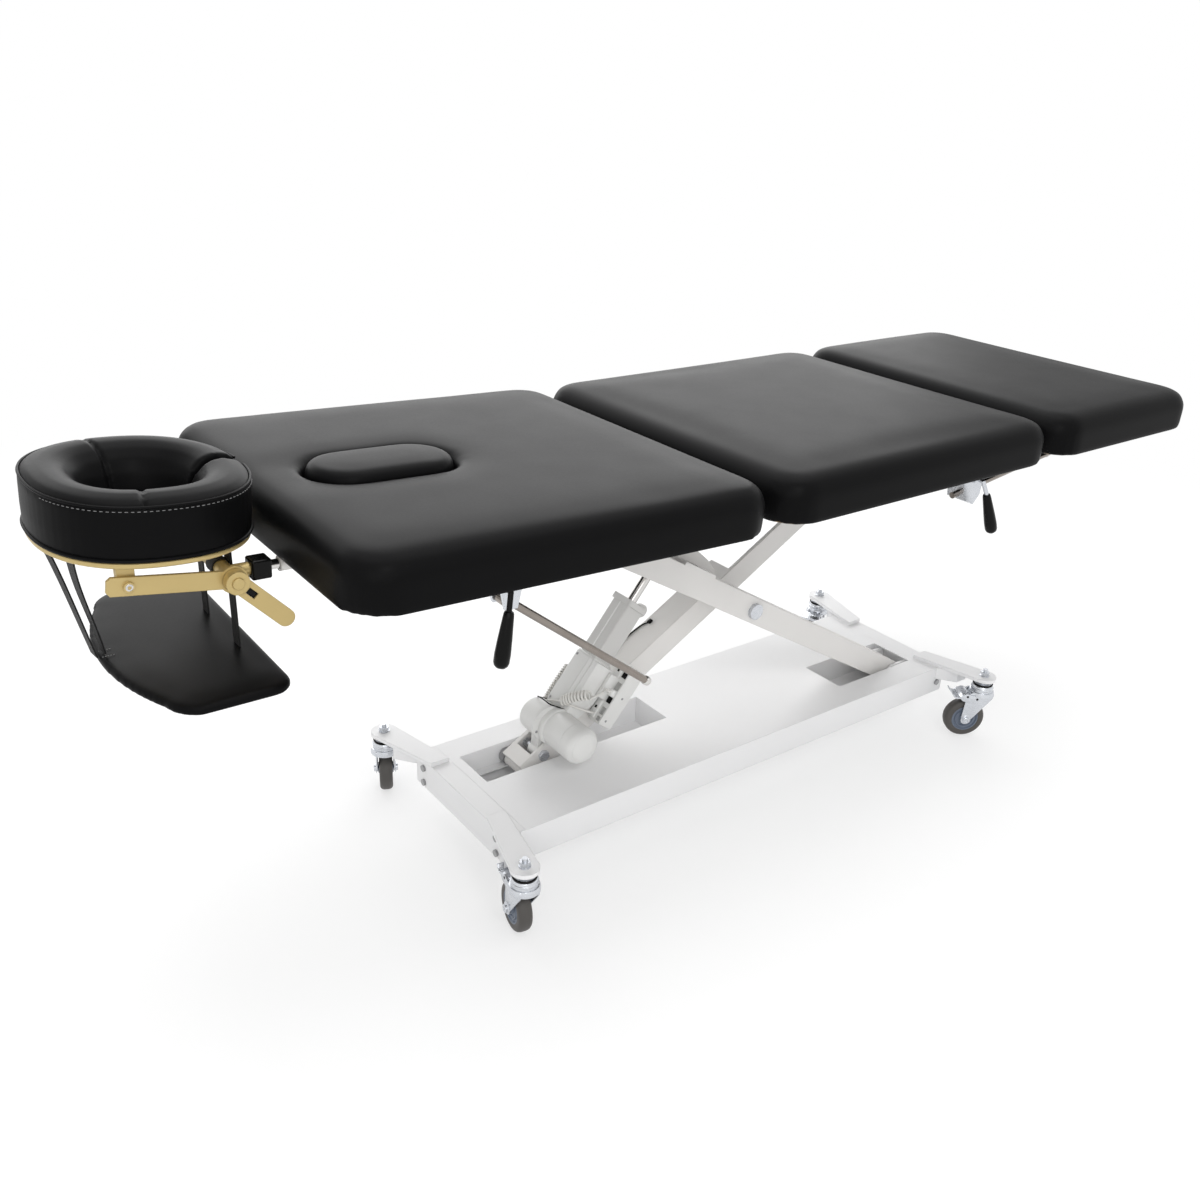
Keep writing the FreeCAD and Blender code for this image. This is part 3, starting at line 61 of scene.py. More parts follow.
# Places shared by several pieces, in metres
HEAD_PIVOT = joint_place("head_tilt")
HEAD_TILT = math.radians(2.1)
BOARD_BOTTOM = node_box("mid_board")[0].z
CROWN = 0.004
CUSHION_TOP = node_box("mid_cushion")[1].z - CROWN
HALF_WIDTH = node_box("mid_cushion")[1].y
ALONG_Y = Matrix.Rotation(-math.pi / 2, 4, "X")
AGAINST_Y = Matrix.Rotation(math.pi / 2, 4, "X")
CORNERS = ("head_near", "head_far", "foot_near", "foot_far")


class Socket:
    """An output in a material's node tree; sums on it add Math nodes."""

    def __init__(self, tree, output=None):
        self.tree = tree
        self.output = output

    def node(self, kind, inputs=None, output=0, stops=None, **settings):
        made = self.tree.nodes.new(kind)
        for name, value in settings.items():
            setattr(made, name, value)
        if stops:
            ramp = made.color_ramp
            ramp.elements[0].position, ramp.elements[0].color = stops[0]
            ramp.elements[1].position, ramp.elements[1].color = stops[-1]
            for place, colour in stops[1:-1]:
                ramp.elements.new(place).color = colour
        for key, value in (inputs or {}).items():
            if isinstance(value, Socket):
                self.tree.links.new(value.output, made.inputs[key])
            else:
                made.inputs[key].default_value = value
        return Socket(self.tree, made.outputs[output] if made.outputs else None)

    def maths(self, operation, first, second):
        return self.node("ShaderNodeMath", {0: first, 1: second}, operation=operation)

    def __add__(self, other):
        return self.maths("ADD", self, other)

    def __radd__(self, other):
        return self.maths("ADD", other, self)

    def __sub__(self, other):
        return self.maths("SUBTRACT", self, other)

    def __rsub__(self, other):
        return self.maths("SUBTRACT", other, self)

    def __mul__(self, other):
        return self.maths("MULTIPLY", self, other)

    def __rmul__(self, other):
        return self.maths("MULTIPLY", other, self)


def new_material(name):
    """A material with an empty tree, and that tree wrapped in a Socket."""
    material = bpy.data.materials.new(name)
    material.use_nodes = True
    material.node_tree.nodes.clear()
    return material, Socket(material.node_tree)


def rgba(colour):
    return (*colour, 1.0)


def own_place(tree):
    """The coordinates of the piece itself."""
    return tree.node("ShaderNodeTexCoord", output=3)


def finish_material(tree, colour, roughness, normal, metallic=0.0, **extra):
    """The closing shader of a material; extra holds plain numbers for the shader's own sockets."""
    inputs = {"Base Color": colour, "Roughness": roughness, "Metallic": metallic, "Normal": normal}
    inputs.update(extra)
    shader = tree.node("ShaderNodeBsdfPrincipled", inputs)
    tree.node("ShaderNodeOutputMaterial", {"Surface": shader})


def noise(tree, place, scale, detail=3.0, roughness=0.55):
    return tree.node("ShaderNodeTexNoise",
                     {"Vector": place, "Scale": scale, "Detail": detail, "Roughness": roughness})


def mixed(tree, factor, first, second):
    """A colour between two colours."""
    return tree.node("ShaderNodeMix", {0: factor, 6: first, 7: second}, output=2, data_type="RGBA")


def bumped(tree, height, distance, strength, under=None):
    inputs = {"Height": height, "Distance": distance, "Strength": strength}
    if under is not None:
        inputs["Normal"] = under
    return tree.node("ShaderNodeBump", inputs)


def soft_edges(tree, radius):
    """Rounds the shading of a CAD node's sharp edges."""
    return tree.node("ShaderNodeBevel", {"Radius": radius}, samples=4)


def coated(name, colour, shade, roughness, edge, peel=0.00006, metallic=0.0, **extra):
    """Paint, plating or moulded plastic: faint cloudiness, fine skin texture and rounded edges."""
    material, tree = new_material(name)
    place = own_place(tree)
    cloud = noise(tree, place, 9.0, 4.0)
    skin = noise(tree, place, 900.0, 2.0)
    tone = mixed(tree, cloud, rgba(shade), rgba(colour))
    rough = cloud * 0.10 + (roughness - 0.05)
    normal = bumped(tree, skin, peel, 0.5, soft_edges(tree, edge))
    finish_material(tree, tone, rough, normal, metallic, **extra)
    return material


def brushed(name, colour, shade, roughness, stretch, edge, **extra):
    """Bare or plated metal with faint drawn lines along one direction."""
    material, tree = new_material(name)
    place = own_place(tree)
    lines_at = tree.node("ShaderNodeMapping", {"Vector": place, "Scale": stretch})
    lines = noise(tree, lines_at, 60.0, 3.0)
    cloud = noise(tree, place, 25.0, 3.0)
    tone = mixed(tree, cloud, rgba(shade), rgba(colour))
    rough = lines * 0.14 + (roughness - 0.07)
    normal = bumped(tree, lines, 0.00005, 0.4, soft_edges(tree, edge))
    finish_material(tree, tone, rough, normal, 1.0, **extra)
    return material


def vinyl(name, colour, shade, roughness, gloss):
    """Upholstery vinyl: pebbled grain, faint mottling and a soft sheen."""
    material, tree = new_material(name)
    place = own_place(tree)
    pebble = tree.node("ShaderNodeTexVoronoi", {"Vector": place, "Scale": 620.0}, feature="F1")
    crease = noise(tree, place, 240.0, 4.0)
    mottle = noise(tree, place, 14.0, 4.0)
    tone = mixed(tree, mottle, rgba(shade), rgba(colour))
    rough = mottle * 0.06 + crease * 0.06 + (roughness - 0.06)
    height = pebble * 0.7 + crease * 0.6
    normal = bumped(tree, height, 0.00012, 0.3)
    finish_material(tree, tone, rough, normal, **{"Specular IOR Level": gloss})
    return material


def webbing(name, colour, shade):
    """Woven strap: diagonal ribs crossed by the weft."""
    material, tree = new_material(name)
    place = own_place(tree)
    ribs = tree.node("ShaderNodeTexWave", {"Vector": place, "Scale": 420.0, "Distortion": 1.0}, output=1,
                     bands_direction="DIAGONAL")
    weft = tree.node("ShaderNodeTexWave", {"Vector": place, "Scale": 700.0}, output=1, bands_direction="Z")
    weave = ribs * 0.6 + weft * 0.4
    tone = mixed(tree, weave, rgba(shade), rgba(colour))
    rough = weave * 0.2 + 0.5
    finish_material(tree, tone, rough, bumped(tree, weave, 0.0004, 0.6), **{"Specular IOR Level": 0.3})
    return material


def plywood(name):
    """Plain plywood with long grain and darker growth lines."""
    material, tree = new_material(name)
    place = own_place(tree)
    along = tree.node("ShaderNodeMapping", {"Vector": place, "Scale": (3.0, 40.0, 40.0)})
    grain = noise(tree, along, 6.0, 6.0, 0.65)
    tone = tree.node("ShaderNodeValToRGB", {"Fac": grain},
                     stops=[(0.3, (0.30, 0.19, 0.10, 1)), (0.55, (0.48, 0.34, 0.20, 1)),
                            (0.8, (0.56, 0.42, 0.27, 1))])
    finish_material(tree, tone, grain * 0.2 + 0.5,
                    bumped(tree, grain, 0.0003, 0.4, soft_edges(tree, 0.001)))
    return material


WHITE_COAT = coated("white powder coat", (0.90, 0.90, 0.905), (0.87, 0.87, 0.875), 0.40, 0.0022)
ARM_COAT = coated("warm grey powder coat", (0.80, 0.785, 0.765), (0.765, 0.75, 0.73), 0.45, 0.003)
CASE_PLASTIC = coated("light grey case plastic", (0.78, 0.78, 0.765), (0.745, 0.745, 0.73), 0.36, 0.002,
                      0.00008)
STRIP_PLASTIC = coated("white strip plastic", (0.88, 0.88, 0.87), (0.84, 0.84, 0.83), 0.34, 0.0006)
PROFILE = coated("satin profile", (0.66, 0.655, 0.64), (0.61, 0.605, 0.59), 0.34, 0.002)
ZINC = brushed("bright zinc", (0.70, 0.72, 0.75), (0.55, 0.57, 0.61), 0.27, (1.0, 1.0, 6.0), 0.0012)
DARK_ZINC = brushed("dull dark bolt", (0.42, 0.42, 0.42), (0.30, 0.30, 0.31), 0.34, (4.0, 4.0, 4.0), 0.0006)
CHROME = brushed("polished chrome", (0.72, 0.71, 0.70), (0.58, 0.56, 0.54), 0.13, (8.0, 8.0, 8.0), 0.001)
STAY_STEEL = brushed("brown grey stay steel", (0.34, 0.305, 0.275), (0.22, 0.195, 0.175), 0.2,
                     (8.0, 8.0, 8.0), 0.001)
GOLD = coated("champagne gold", (0.58, 0.445, 0.195), (0.52, 0.395, 0.165), 0.34, 0.0016, 0.00004, 0.45)
BLACK_PLASTIC = coated("satin black plastic", (0.004, 0.004, 0.004), (0.003, 0.003, 0.003), 0.17, 0.0016,
                       **{"Specular IOR Level": 0.13})
GREY_PLASTIC = coated("grey socket plastic", (0.42, 0.42, 0.41), (0.36, 0.36, 0.35), 0.4, 0.0005)
NYLON = coated("grey nylon", (0.34, 0.34, 0.35), (0.30, 0.30, 0.31), 0.5, 0.001)
CORD_SHEATH = coated("pale cord sheath", (0.74, 0.73, 0.70), (0.68, 0.67, 0.64), 0.42, 0.0005)
TYRE = coated("brown grey tyre", (0.085, 0.078, 0.072), (0.060, 0.056, 0.052), 0.52, 0.001, 0.0001)
HUB = coated("blue grey hub", (0.16, 0.19, 0.25), (0.12, 0.15, 0.20), 0.36, 0.0006)
VINYL = vinyl("black vinyl", (0.0045, 0.0045, 0.0048), (0.0032, 0.0032, 0.0034), 0.42, 0.055)
STRAP = webbing("black webbing", (0.014, 0.014, 0.014), (0.005, 0.005, 0.005))
PLY = plywood("plywood")
THREAD = coated("pale thread", (0.24, 0.24, 0.24), (0.19, 0.19, 0.19), 0.6, 0.0002)

SLOT_MATERIALS = {
    "white_coat": WHITE_COAT, "arm_coat": ARM_COAT, "zinc": ZINC, "caster_tyre": TYRE,
                  "roller_plastic": NYLON,
    "actuator_plastic": CASE_PLASTIC, "actuator_metal": PROFILE, "chrome_steel": CHROME,
    "cord_sheath": CORD_SHEATH, "plywood": PLY, "black_vinyl": VINYL, "shelf_vinyl": VINYL,
    "black_plastic": BLACK_PLASTIC, "gold_coat": GOLD, "black_strap": STRAP,
}
FINISHES = {part["node"]: SLOT_MATERIALS[part["material_slot"]] for part in frame["record"]["subparts"]}
FINISHES.update(frame_bolts=DARK_ZINC, head_rod=STAY_STEEL, foot_rod=STAY_STEEL)
for name, material in FINISHES.items():
    frame["nodes"][name].data.materials.clear()
    frame["nodes"][name].data.materials.append(material)

SHARP_FOLD = math.radians(38)
LEVEL_SLACK = 1e-4


# Ways of making and placing a piece
def as_mesh(name, shape):
    """Turns a bmesh into a mesh and frees it."""
    mesh = bpy.data.meshes.new(name)
    shape.to_mesh(mesh)
    shape.free()
    return mesh


def linked(name, data):
    """An object in the scene."""
    made = bpy.data.objects.new(name, data)
    bpy.context.scene.collection.objects.link(made)
    return made


def piece(name, shape, material, body, replaced=()):
    """Turns a finished bmesh into an object that rides on a body."""
    bmesh.ops.recalc_face_normals(shape, faces=shape.faces)
    return mesh_piece(name, as_mesh(name, shape), material, body, replaced)


def mesh_piece(name, mesh, material, body, replaced=()):
    """An object that rides on a body and takes the place of some CAD nodes."""
    made = linked(name, mesh)
    mesh.materials.append(material)
    mesh.shade_smooth()
    mesh.set_sharp_from_angle(angle=SHARP_FOLD)
    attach(made, body)
    if replaced:
        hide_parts(*replaced)
    return made


def bevel(shape, edges, width, segments):
    bmesh.ops.bevel(shape, geom=edges, offset=width, offset_type="OFFSET", segments=segments, profile=0.5,
                    affect="EDGES", material=-1, clamp_overlap=True)


def slab(low, high):
    """A box between two corners."""
    shape = bmesh.new()
    bmesh.ops.create_cube(shape, size=1.0)
    size = Vector(high) - Vector(low)
    bmesh.ops.scale(shape, vec=size, verts=shape.verts)
    bmesh.ops.translate(shape, vec=(Vector(high) + Vector(low)) / 2, verts=shape.verts)
    return shape


def block(low, high, edge, segments=2):
    """A box between two corners with rounded edges."""
    shape = slab(low, high)
    bevel(shape, shape.edges[:], edge, segments)
    return shape


def edges_at(shape, level):
    """The edges that lie at one height."""
    return [edge for edge in shape.edges if all(abs(vert.co.z - level) < LEVEL_SLACK for vert in edge.verts)]


def reach(edge, axis):
    """How far an edge goes along an axis."""
    return abs(edge.verts[0].co[axis] - edge.verts[1].co[axis])


def new_verts(made):
    """The points that an extrusion added."""
    return [item for item in made["geom"] if isinstance(item, bmesh.types.BMVert)]


def plate(outline, y_low, y_high, corner=0.0, rim=0.0, segments=4):
    """A flat plate with its outline in X and Z, round corners and a rounded rim."""
    shape = bmesh.new()
    face = shape.faces.new([shape.verts.new((x, y_low, z)) for x, z in outline])
    made = bmesh.ops.extrude_face_region(shape, geom=[face])
    moved = new_verts(made)
    bmesh.ops.translate(shape, vec=(0, y_high - y_low, 0), verts=moved)
    bmesh.ops.recalc_face_normals(shape, faces=shape.faces)
    if corner:
        through = [edge for edge in shape.edges if reach(edge, 1) > 1e-5]
        bevel(shape, through, corner, segments)
    if rim:
        level = [edge for edge in shape.edges if reach(edge, 1) < 1e-6]
        bevel(shape, [edge for edge in level if edge.calc_face_angle(0.0) > 1.2], rim, 2)
    return shape


def turned(profile, steps=48, closed=False):
    """A turned body from (radius, height) points about Z; closed joins the last point to the first."""
    shape = bmesh.new()
    verts = [shape.verts.new((radius, 0, height)) for radius, height in profile]
    pairs = list(zip(verts, verts[1:]))
    if closed:
        pairs.append((verts[-1], verts[0]))
    edges = [shape.edges.new(pair) for pair in pairs]
    bmesh.ops.spin(shape, geom=verts + edges, cent=(0, 0, 0), axis=(0, 0, 1), angle=math.tau, steps=steps,
                   use_merge=True, use_duplicate=False)
    bmesh.ops.remove_doubles(shape, verts=shape.verts, dist=1e-6)
    return shape


def laid(shape, *matrices):
    """Moves a shape by the product of some matrices."""
    whole = Matrix.Identity(4)
    for matrix in matrices:
        whole = whole @ matrix
    bmesh.ops.transform(shape, matrix=whole, verts=shape.verts)
    return shape


def merged(shapes):
    """Several shapes as one, each still a closed shell."""
    whole = bmesh.new()
    for shape in shapes:
        bmesh.ops.recalc_face_normals(shape, faces=shape.faces)
        mesh = as_mesh("shell", shape)
        whole.from_mesh(mesh)
        bpy.data.meshes.remove(mesh)
    return whole


def at(x, y, z):
    return Matrix.Translation((x, y, z))


def tilted(pivot, angle):
    """A turn about a line across the table."""
    return Matrix.Translation(pivot) @ Matrix.Rotation(angle, 4, "Y") @ Matrix.Translation(-pivot)


def head_turn():
    """The rest tilt of the head section about its hinge."""
    return tilted(HEAD_PIVOT, HEAD_TILT)


def facing(place, way):
    """Puts something made along +Z at a place, pointing along a direction."""
    return Matrix.Translation(place) @ Vector(way).to_track_quat("Z", "Y").to_matrix().to_4x4()


def cord(name, points, radius, material, body, replaced=()):
    """A round cord along a smooth spline; gives its piece and the points of its line."""
    curve = bpy.data.curves.new(name, "CURVE")
    curve.dimensions = "3D"
    curve.resolution_u = 4
    spline = curve.splines.new("NURBS")
    spline.points.add(len(points) - 1)
    for point, place in zip(spline.points, points):
        point.co = (*place, 1.0)
    spline.order_u = 3
    spline.use_endpoint_u = True
    route = linked(name + "_route", curve)
    line = [vert.co.copy() for vert in bpy.data.meshes.new_from_object(route).vertices]
    curve.bevel_depth = radius
    curve.bevel_resolution = 3
    curve.use_fill_caps = True
    tube = bpy.data.meshes.new_from_object(route)
    bpy.data.objects.remove(route)
    return mesh_piece(name, tube, material, body, replaced), line


def line_length(line):
    return sum((after - before).length for before, after in zip(line, line[1:]))


# Padded pieces
SWELL_FRAMES = 20
EVEN_PASSES = 40
SMOOTH_PASSES = 3


def evaluated_mesh(made):
    """An object's mesh with its modifiers applied."""
    graph = bpy.context.evaluated_depsgraph_get()
    return bpy.data.meshes.new_from_object(made.evaluated_get(graph))


def evened(swell, mesh, still):
    """Spreads a swelling over neighbouring points, so that the cover stays taut and without folds."""
    ends = numpy.empty(len(mesh.edges) * 2, dtype=numpy.int32)
    mesh.edges.foreach_get("vertices", ends)
    first, last = ends.reshape(-1, 2).T
    size = len(swell)
    count = numpy.bincount(ends, minlength=size)
    for _ in range(EVEN_PASSES):
        around = numpy.bincount(first, weights=swell[last], minlength=size)
        around += numpy.bincount(last, weights=swell[first], minlength=size)
        swell = numpy.where(still, 0.0, (swell + around / count) / 2)
    return swell


def puffed(shape, name, voxel, pressure, cap, held):
    """Remeshes a soft form and swells it as cloth under pressure; held says which points stay."""
    bmesh.ops.recalc_face_normals(shape, faces=shape.faces)
    work = linked(name + "_work", as_mesh(name, shape))
    remesh = work.modifiers.new("remesh", "REMESH")
    remesh.mode = "VOXEL"
    remesh.voxel_size = voxel
    even = evaluated_mesh(work)
    work.modifiers.clear()
    work.data = even
    start = [vert.co.copy() for vert in even.vertices]
    ways = [vert.normal.copy() for vert in even.vertices]
    still = numpy.array([held(place) for place in start])
    pins = work.vertex_groups.new(name="held")
    pins.add(numpy.flatnonzero(still).tolist(), 1.0, "ADD")
    cloth = work.modifiers.new("cloth", "CLOTH")
    cloth.settings.quality = 5
    cloth.settings.use_pressure = True
    cloth.settings.uniform_pressure_force = pressure
    cloth.settings.effector_weights.gravity = 0.0
    cloth.settings.vertex_group_mass = "held"
    cloth.settings.tension_stiffness = 25.0
    cloth.settings.bending_stiffness = 2.0
    cloth.collision_settings.use_collision = False
    cloth.point_cache.frame_end = SWELL_FRAMES
    for number in range(1, SWELL_FRAMES + 1):
        bpy.context.scene.frame_set(number)
    swollen = evaluated_mesh(work)
    work.modifiers.clear()
    bpy.context.scene.frame_set(1)
    rise = [(vert.co - before).dot(way) for vert, before, way in zip(swollen.vertices, start, ways)]
    rise = evened(numpy.clip(rise, 0.0, cap), even, still)
    for vert, before, way, amount in zip(even.vertices, start, ways, rise):
        vert.co = before + way * float(amount)
    shape = bmesh.new()
    shape.from_mesh(work.data)
    bpy.data.objects.remove(work)
    for _ in range(SMOOTH_PASSES):
        free = [vert for vert in shape.verts if not held(vert.co)]
        bmesh.ops.smooth_vert(shape, verts=free, factor=0.5, use_axis_x=True, use_axis_y=True,
                              use_axis_z=True)
    return shape


def cover(name, form, body, replaced):
    """Makes a swollen form a piece of vinyl, with one subdivision."""
    made = piece(name, form, VINYL, body, [replaced])
    smooth = made.modifiers.new("subdivision", "SUBSURF")
    smooth.levels = 1
    smooth.render_levels = 1
    return made


CORNER = 0.062
EDGE = 0.034
INSET = 0.003
FOLD_DEPTH = 0.0016
FOLDS = 22
SKIRT = 0.004
RECESS_LOW = Vector((0.393, -0.330))
RECESS_HIGH = Vector((0.482, -0.245))
RECESS_SKIRT = 0.0012


def cushion_form(x_low, x_high):
    """A flat pad with round corners and a rolled top edge, slightly small so that it can swell."""
    bottom = BOARD_BOTTOM - SKIRT
    side = HALF_WIDTH - INSET
    shape = slab((x_low + INSET, -side, bottom), (x_high - INSET, side, CUSHION_TOP))
    upright = [edge for edge in shape.edges if reach(edge, 2) > 0.03]
    bevel(shape, upright, CORNER, 8)
    bevel(shape, edges_at(shape, CUSHION_TOP), EDGE, 7)
    bevel(shape, edges_at(shape, bottom), 0.002, 2)
    return shape


def at_wall(place):
    """The upright sides and the underside of a cushion, which stay."""
    return place.z < CUSHION_TOP - EDGE * 0.8


def gathered(shape, x_low, x_high):
    """Draws small folds into the foot of the four corners, where the vinyl is gathered under the board."""
    shape.normal_update()
    for vert in shape.verts:
        x, y, z = vert.co
        along_x = min(x - x_low, x_high - x)
        along_y = HALF_WIDTH - abs(y)
        if along_x < CORNER and along_y < CORNER and z < CUSHION_TOP - EDGE:
            turn = math.atan2(CORNER - along_y, CORNER - along_x)
            depth = (CUSHION_TOP - EDGE - z) / (CUSHION_TOP - EDGE - BOARD_BOTTOM)
            fade = math.sin(2 * turn)
            vert.co -= vert.normal * (FOLD_DEPTH * depth * fade * (0.5 + 0.5 * math.cos(turn * FOLDS)))
    return shape


def recessed(shape):
    """Thins the cover under the board above the foot stay's lock, which swings up there."""
    for vert in shape.verts:
        x, y, z = vert.co
        if RECESS_LOW.x < x < RECESS_HIGH.x and RECESS_LOW.y < y < RECESS_HIGH.y:
            vert.co.z = max(z, BOARD_BOTTOM - RECESS_SKIRT)
    return shape


for cushion, body in (("mid_cushion", "table"), ("foot_cushion", "foot")):
    low, high = node_box(cushion)
    form = puffed(cushion_form(low.x, high.x), cushion, 0.008, 4.0, 0.006, at_wall)
    form = recessed(gathered(form, low.x, high.x))
    made = cover(cushion + "_vinyl", form, body, cushion)

# Head cushion with its face opening, and the oval plug that fills it
HEAD_FAR = -0.824
HEAD_NEAR = -0.111
PLUG_X = -0.614
PLUG_HALF = 0.115
PLUG_SIDE = 0.062
LIP_DEPTH = 0.011
LIP_FLARE = 0.022


def oval(grow, z_low, z_high):
    """An upright oval post at the face opening."""
    half, side = PLUG_HALF + grow, PLUG_SIDE + grow
    shape = slab((PLUG_X - half, -side, z_low), (PLUG_X + half, side, z_high))
    upright = [edge for edge in shape.edges if reach(edge, 2) > 0.01]
    bevel(shape, upright, side - 0.0005, 14)
    return shape


def opening_cutter():
    """The oval opening, flared at the top where the vinyl rolls into it."""
    lip = CUSHION_TOP - LIP_DEPTH
    shape = oval(0.003, BOARD_BOTTOM - 0.01, lip)
    top = [face for face in shape.faces if face.calc_center_median().z > lip - LEVEL_SLACK]
    made = bmesh.ops.extrude_face_region(shape, geom=top)
    moved = new_verts(made)
    bmesh.ops.delete(shape, geom=top, context="FACES_ONLY")
    centre = Vector((PLUG_X, 0, 0))
    for vert in moved:
        out = Vector((vert.co.x, vert.co.y, 0)) - centre
        core = max(-PLUG_HALF + PLUG_SIDE, min(PLUG_HALF - PLUG_SIDE, out.x))
        way = (out - Vector((core, 0, 0))).normalized()
        vert.co += way * LIP_FLARE
        vert.co.z += LIP_FLARE
    return shape


def head_cushion_form():
    """The head pad with the oval cut through it."""
    hole = opening_cutter()
    bmesh.ops.recalc_face_normals(hole, faces=hole.faces)
    pad = linked("pad", as_mesh("pad", cushion_form(HEAD_FAR, HEAD_NEAR)))
    cutter = linked("cutter", as_mesh("cutter", hole))
    cut = pad.modifiers.new("opening", "BOOLEAN")
    cut.operation = "DIFFERENCE"
    cut.object = cutter
    shape = bmesh.new()
    shape.from_mesh(evaluated_mesh(pad))
    bpy.data.objects.remove(pad)
    bpy.data.objects.remove(cutter)
    return shape


form = puffed(head_cushion_form(), "head_cushion", 0.0075, 4.0, 0.005, at_wall)
form = gathered(form, HEAD_FAR, HEAD_NEAR)
made = cover("head_cushion_vinyl", laid(form, head_turn()), "head", "head_cushion")

PLUG_TOP = CUSHION_TOP + 0.010
plug = oval(-0.0005, BOARD_BOTTOM + 0.016, PLUG_TOP)
bevel(plug, edges_at(plug, PLUG_TOP), 0.016, 6)
plug = puffed(plug, "face_plug", 0.0045, 3.0, 0.003, lambda place: place.z < CUSHION_TOP - 0.006)
made = cover("face_plug_vinyl", laid(plug, head_turn()), "plug", "face_plug")

# Face pillow, a rounded horseshoe that opens towards the table
PILLOW_LOW, PILLOW_HIGH = node_box("face_pillow")
PILLOW_RADIUS = (PILLOW_HIGH.y - PILLOW_LOW.y) / 2
PILLOW_CENTRE = Vector((PILLOW_LOW.x + PILLOW_RADIUS + 0.004, 0, PILLOW_LOW.z))
PILLOW_REAR = PILLOW_CENTRE + Vector((PILLOW_RADIUS, 0, 0))
REST_TILT = math.radians(3.8)
PILLOW_PROFILE = [(0.059, 0.0005), (0.134, 0.0005), (0.1365, 0.004), (0.1375, 0.030), (0.1375, 0.066),
                  (0.1345, 0.0725), (0.126, 0.0785), (0.112, 0.0815), (0.098, 0.0805), (0.086, 0.075),
                  (0.074, 0.062), (0.066, 0.045), (0.060, 0.022)]
PLATE_PROFILE = [(0.060, -0.008), (0.1335, -0.008), (0.1355, -0.0065), (0.1360, -0.004), (0.1355, -0.0012),
                 (0.1340, 0.0), (0.060, 0.0)]
MOUTH_TURN = 2 * math.asin(0.009 / 0.096)
PLATE_MOUTH = 2 * math.asin(0.015 / 0.100)
FULLNESS = 2.3
BREADTH = 1.115
SEAM_TURNS = (-1.80, 1.80)
SEAM_DEPTH = 0.0045
SEAM_WIDTH = 0.0026
PIPING_HEIGHT = 0.0712


def rest_turn():
    """The tilt at which the pillow and its plate stand."""
    return tilted(PILLOW_REAR, REST_TILT)


def squared(shape):
    """Draws a round pillow form wider across the table, with fuller corners."""
    for vert in shape.verts:
        turn = math.atan2(vert.co.y, vert.co.x)
        full = abs(math.cos(turn)) ** FULLNESS + abs(math.sin(turn) / BREADTH) ** FULLNESS
        full = full ** (-1 / FULLNESS)
        vert.co.x *= full
        vert.co.y *= full
    return laid(shape, Matrix.Translation(PILLOW_CENTRE))


def horseshoe(profile, mouth, steps=64):
    """A closed section swept round the pillow's middle, open towards the table."""
    shape = bmesh.new()
    turn = Matrix.Rotation(mouth / 2, 4, "Z")
    verts = [shape.verts.new(turn @ Vector((radius, 0, height))) for radius, height in profile]
    section = shape.faces.new(verts)
    bmesh.ops.spin(shape, geom=[section] + section.edges[:] + verts, cent=(0, 0, 0), axis=(0, 0, 1),
                   angle=math.tau - mouth, steps=steps, use_duplicate=False)
    return squared(shape)


def pillow_wall(place):
    """The parts of the pillow that stay: its base and its outer wall."""
    up = place.z - PILLOW_CENTRE.z
    return up < 0.004 or (up < 0.064 and (place - PILLOW_CENTRE).xy.length > 0.118)


def pinched(shape):
    """Draws the seams into the top and the inner wall."""
    shape.normal_update()
    for vert in shape.verts:
        spot = vert.co - PILLOW_CENTRE
        radius = math.hypot(spot.x, spot.y)
        if spot.z < 0.012 or (radius > 0.122 and spot.z < PIPING_HEIGHT - 0.002):
            continue
        for seam in SEAM_TURNS:
            away = abs(math.atan2(spot.y, spot.x) - seam) * radius
            vert.co -= vert.normal * (SEAM_DEPTH * math.exp(-(away / SEAM_WIDTH) ** 2))
    return shape


pillow = horseshoe(PILLOW_PROFILE, MOUTH_TURN)
pillow = pinched(puffed(pillow, "face_pillow", 0.0035, 4.0, 0.003, pillow_wall))
made = cover("face_pillow_vinyl", laid(pillow, rest_turn()), "cradle", "face_pillow")


def piping(radius, height, thickness):
    """A piping cord round the pillow."""
    turns = [math.tau * step / 8 for step in range(8)]
    section = [(radius + thickness * math.cos(turn), height + thickness * math.sin(turn)) for turn in turns]
    return laid(horseshoe(section, MOUTH_TURN + 0.05, 120), rest_turn())


piece("pillow_top_piping", piping(0.1362, PIPING_HEIGHT, 0.0019), VINYL, "cradle")
piece("pillow_bottom_piping", piping(0.1366, 0.0032, 0.0024), VINYL, "cradle")


def plate_form():
    """The gold plate under the pillow, with a tab down to each bar."""
    shapes = [laid(horseshoe(PLATE_PROFILE, PLATE_MOUTH, 96), rest_turn())]
    tab_x = PILLOW_LOW.x + PILLOW_RADIUS - 0.049
    bottom, top = PILLOW_LOW.z - 0.033, PILLOW_LOW.z + 0.007
    for low, high in ((-0.1155, -0.100), (0.100, 0.1155)):
        shapes.append(block((tab_x - 0.011, low, bottom), (tab_x + 0.011, high, top), 0.0015))
    return merged(shapes)


piece("cradle_plate_skin", plate_form(), GOLD, "cradle", ["cradle_plate"])


def stitch(half_x, half_y):
    return block((-half_x, -half_y, -0.0004), (half_x, half_y, 0.0004), 0.0003)


def stitch_row(radius, height, first, last, pitch):
    """Short thread stitches round part of the pillow."""
    shapes = []
    count = int((last - first) * radius / pitch)
    for number in range(count):
        turn = first + (last - first) * number / count
        shapes.append(laid(stitch(0.0005, 0.0017), Matrix.Rotation(turn, 4, "Z"), at(radius, 0, height)))
    return laid(squared(merged(shapes)), rest_turn())


piece("pillow_stitches", stitch_row(0.1377, 0.0665, -2.7, -0.25, 0.0062), THREAD, "cradle")

# Arm shelf under the face rest, and the straps that carry it
SHELF_LOW, SHELF_HIGH = node_box("arm_shelf")


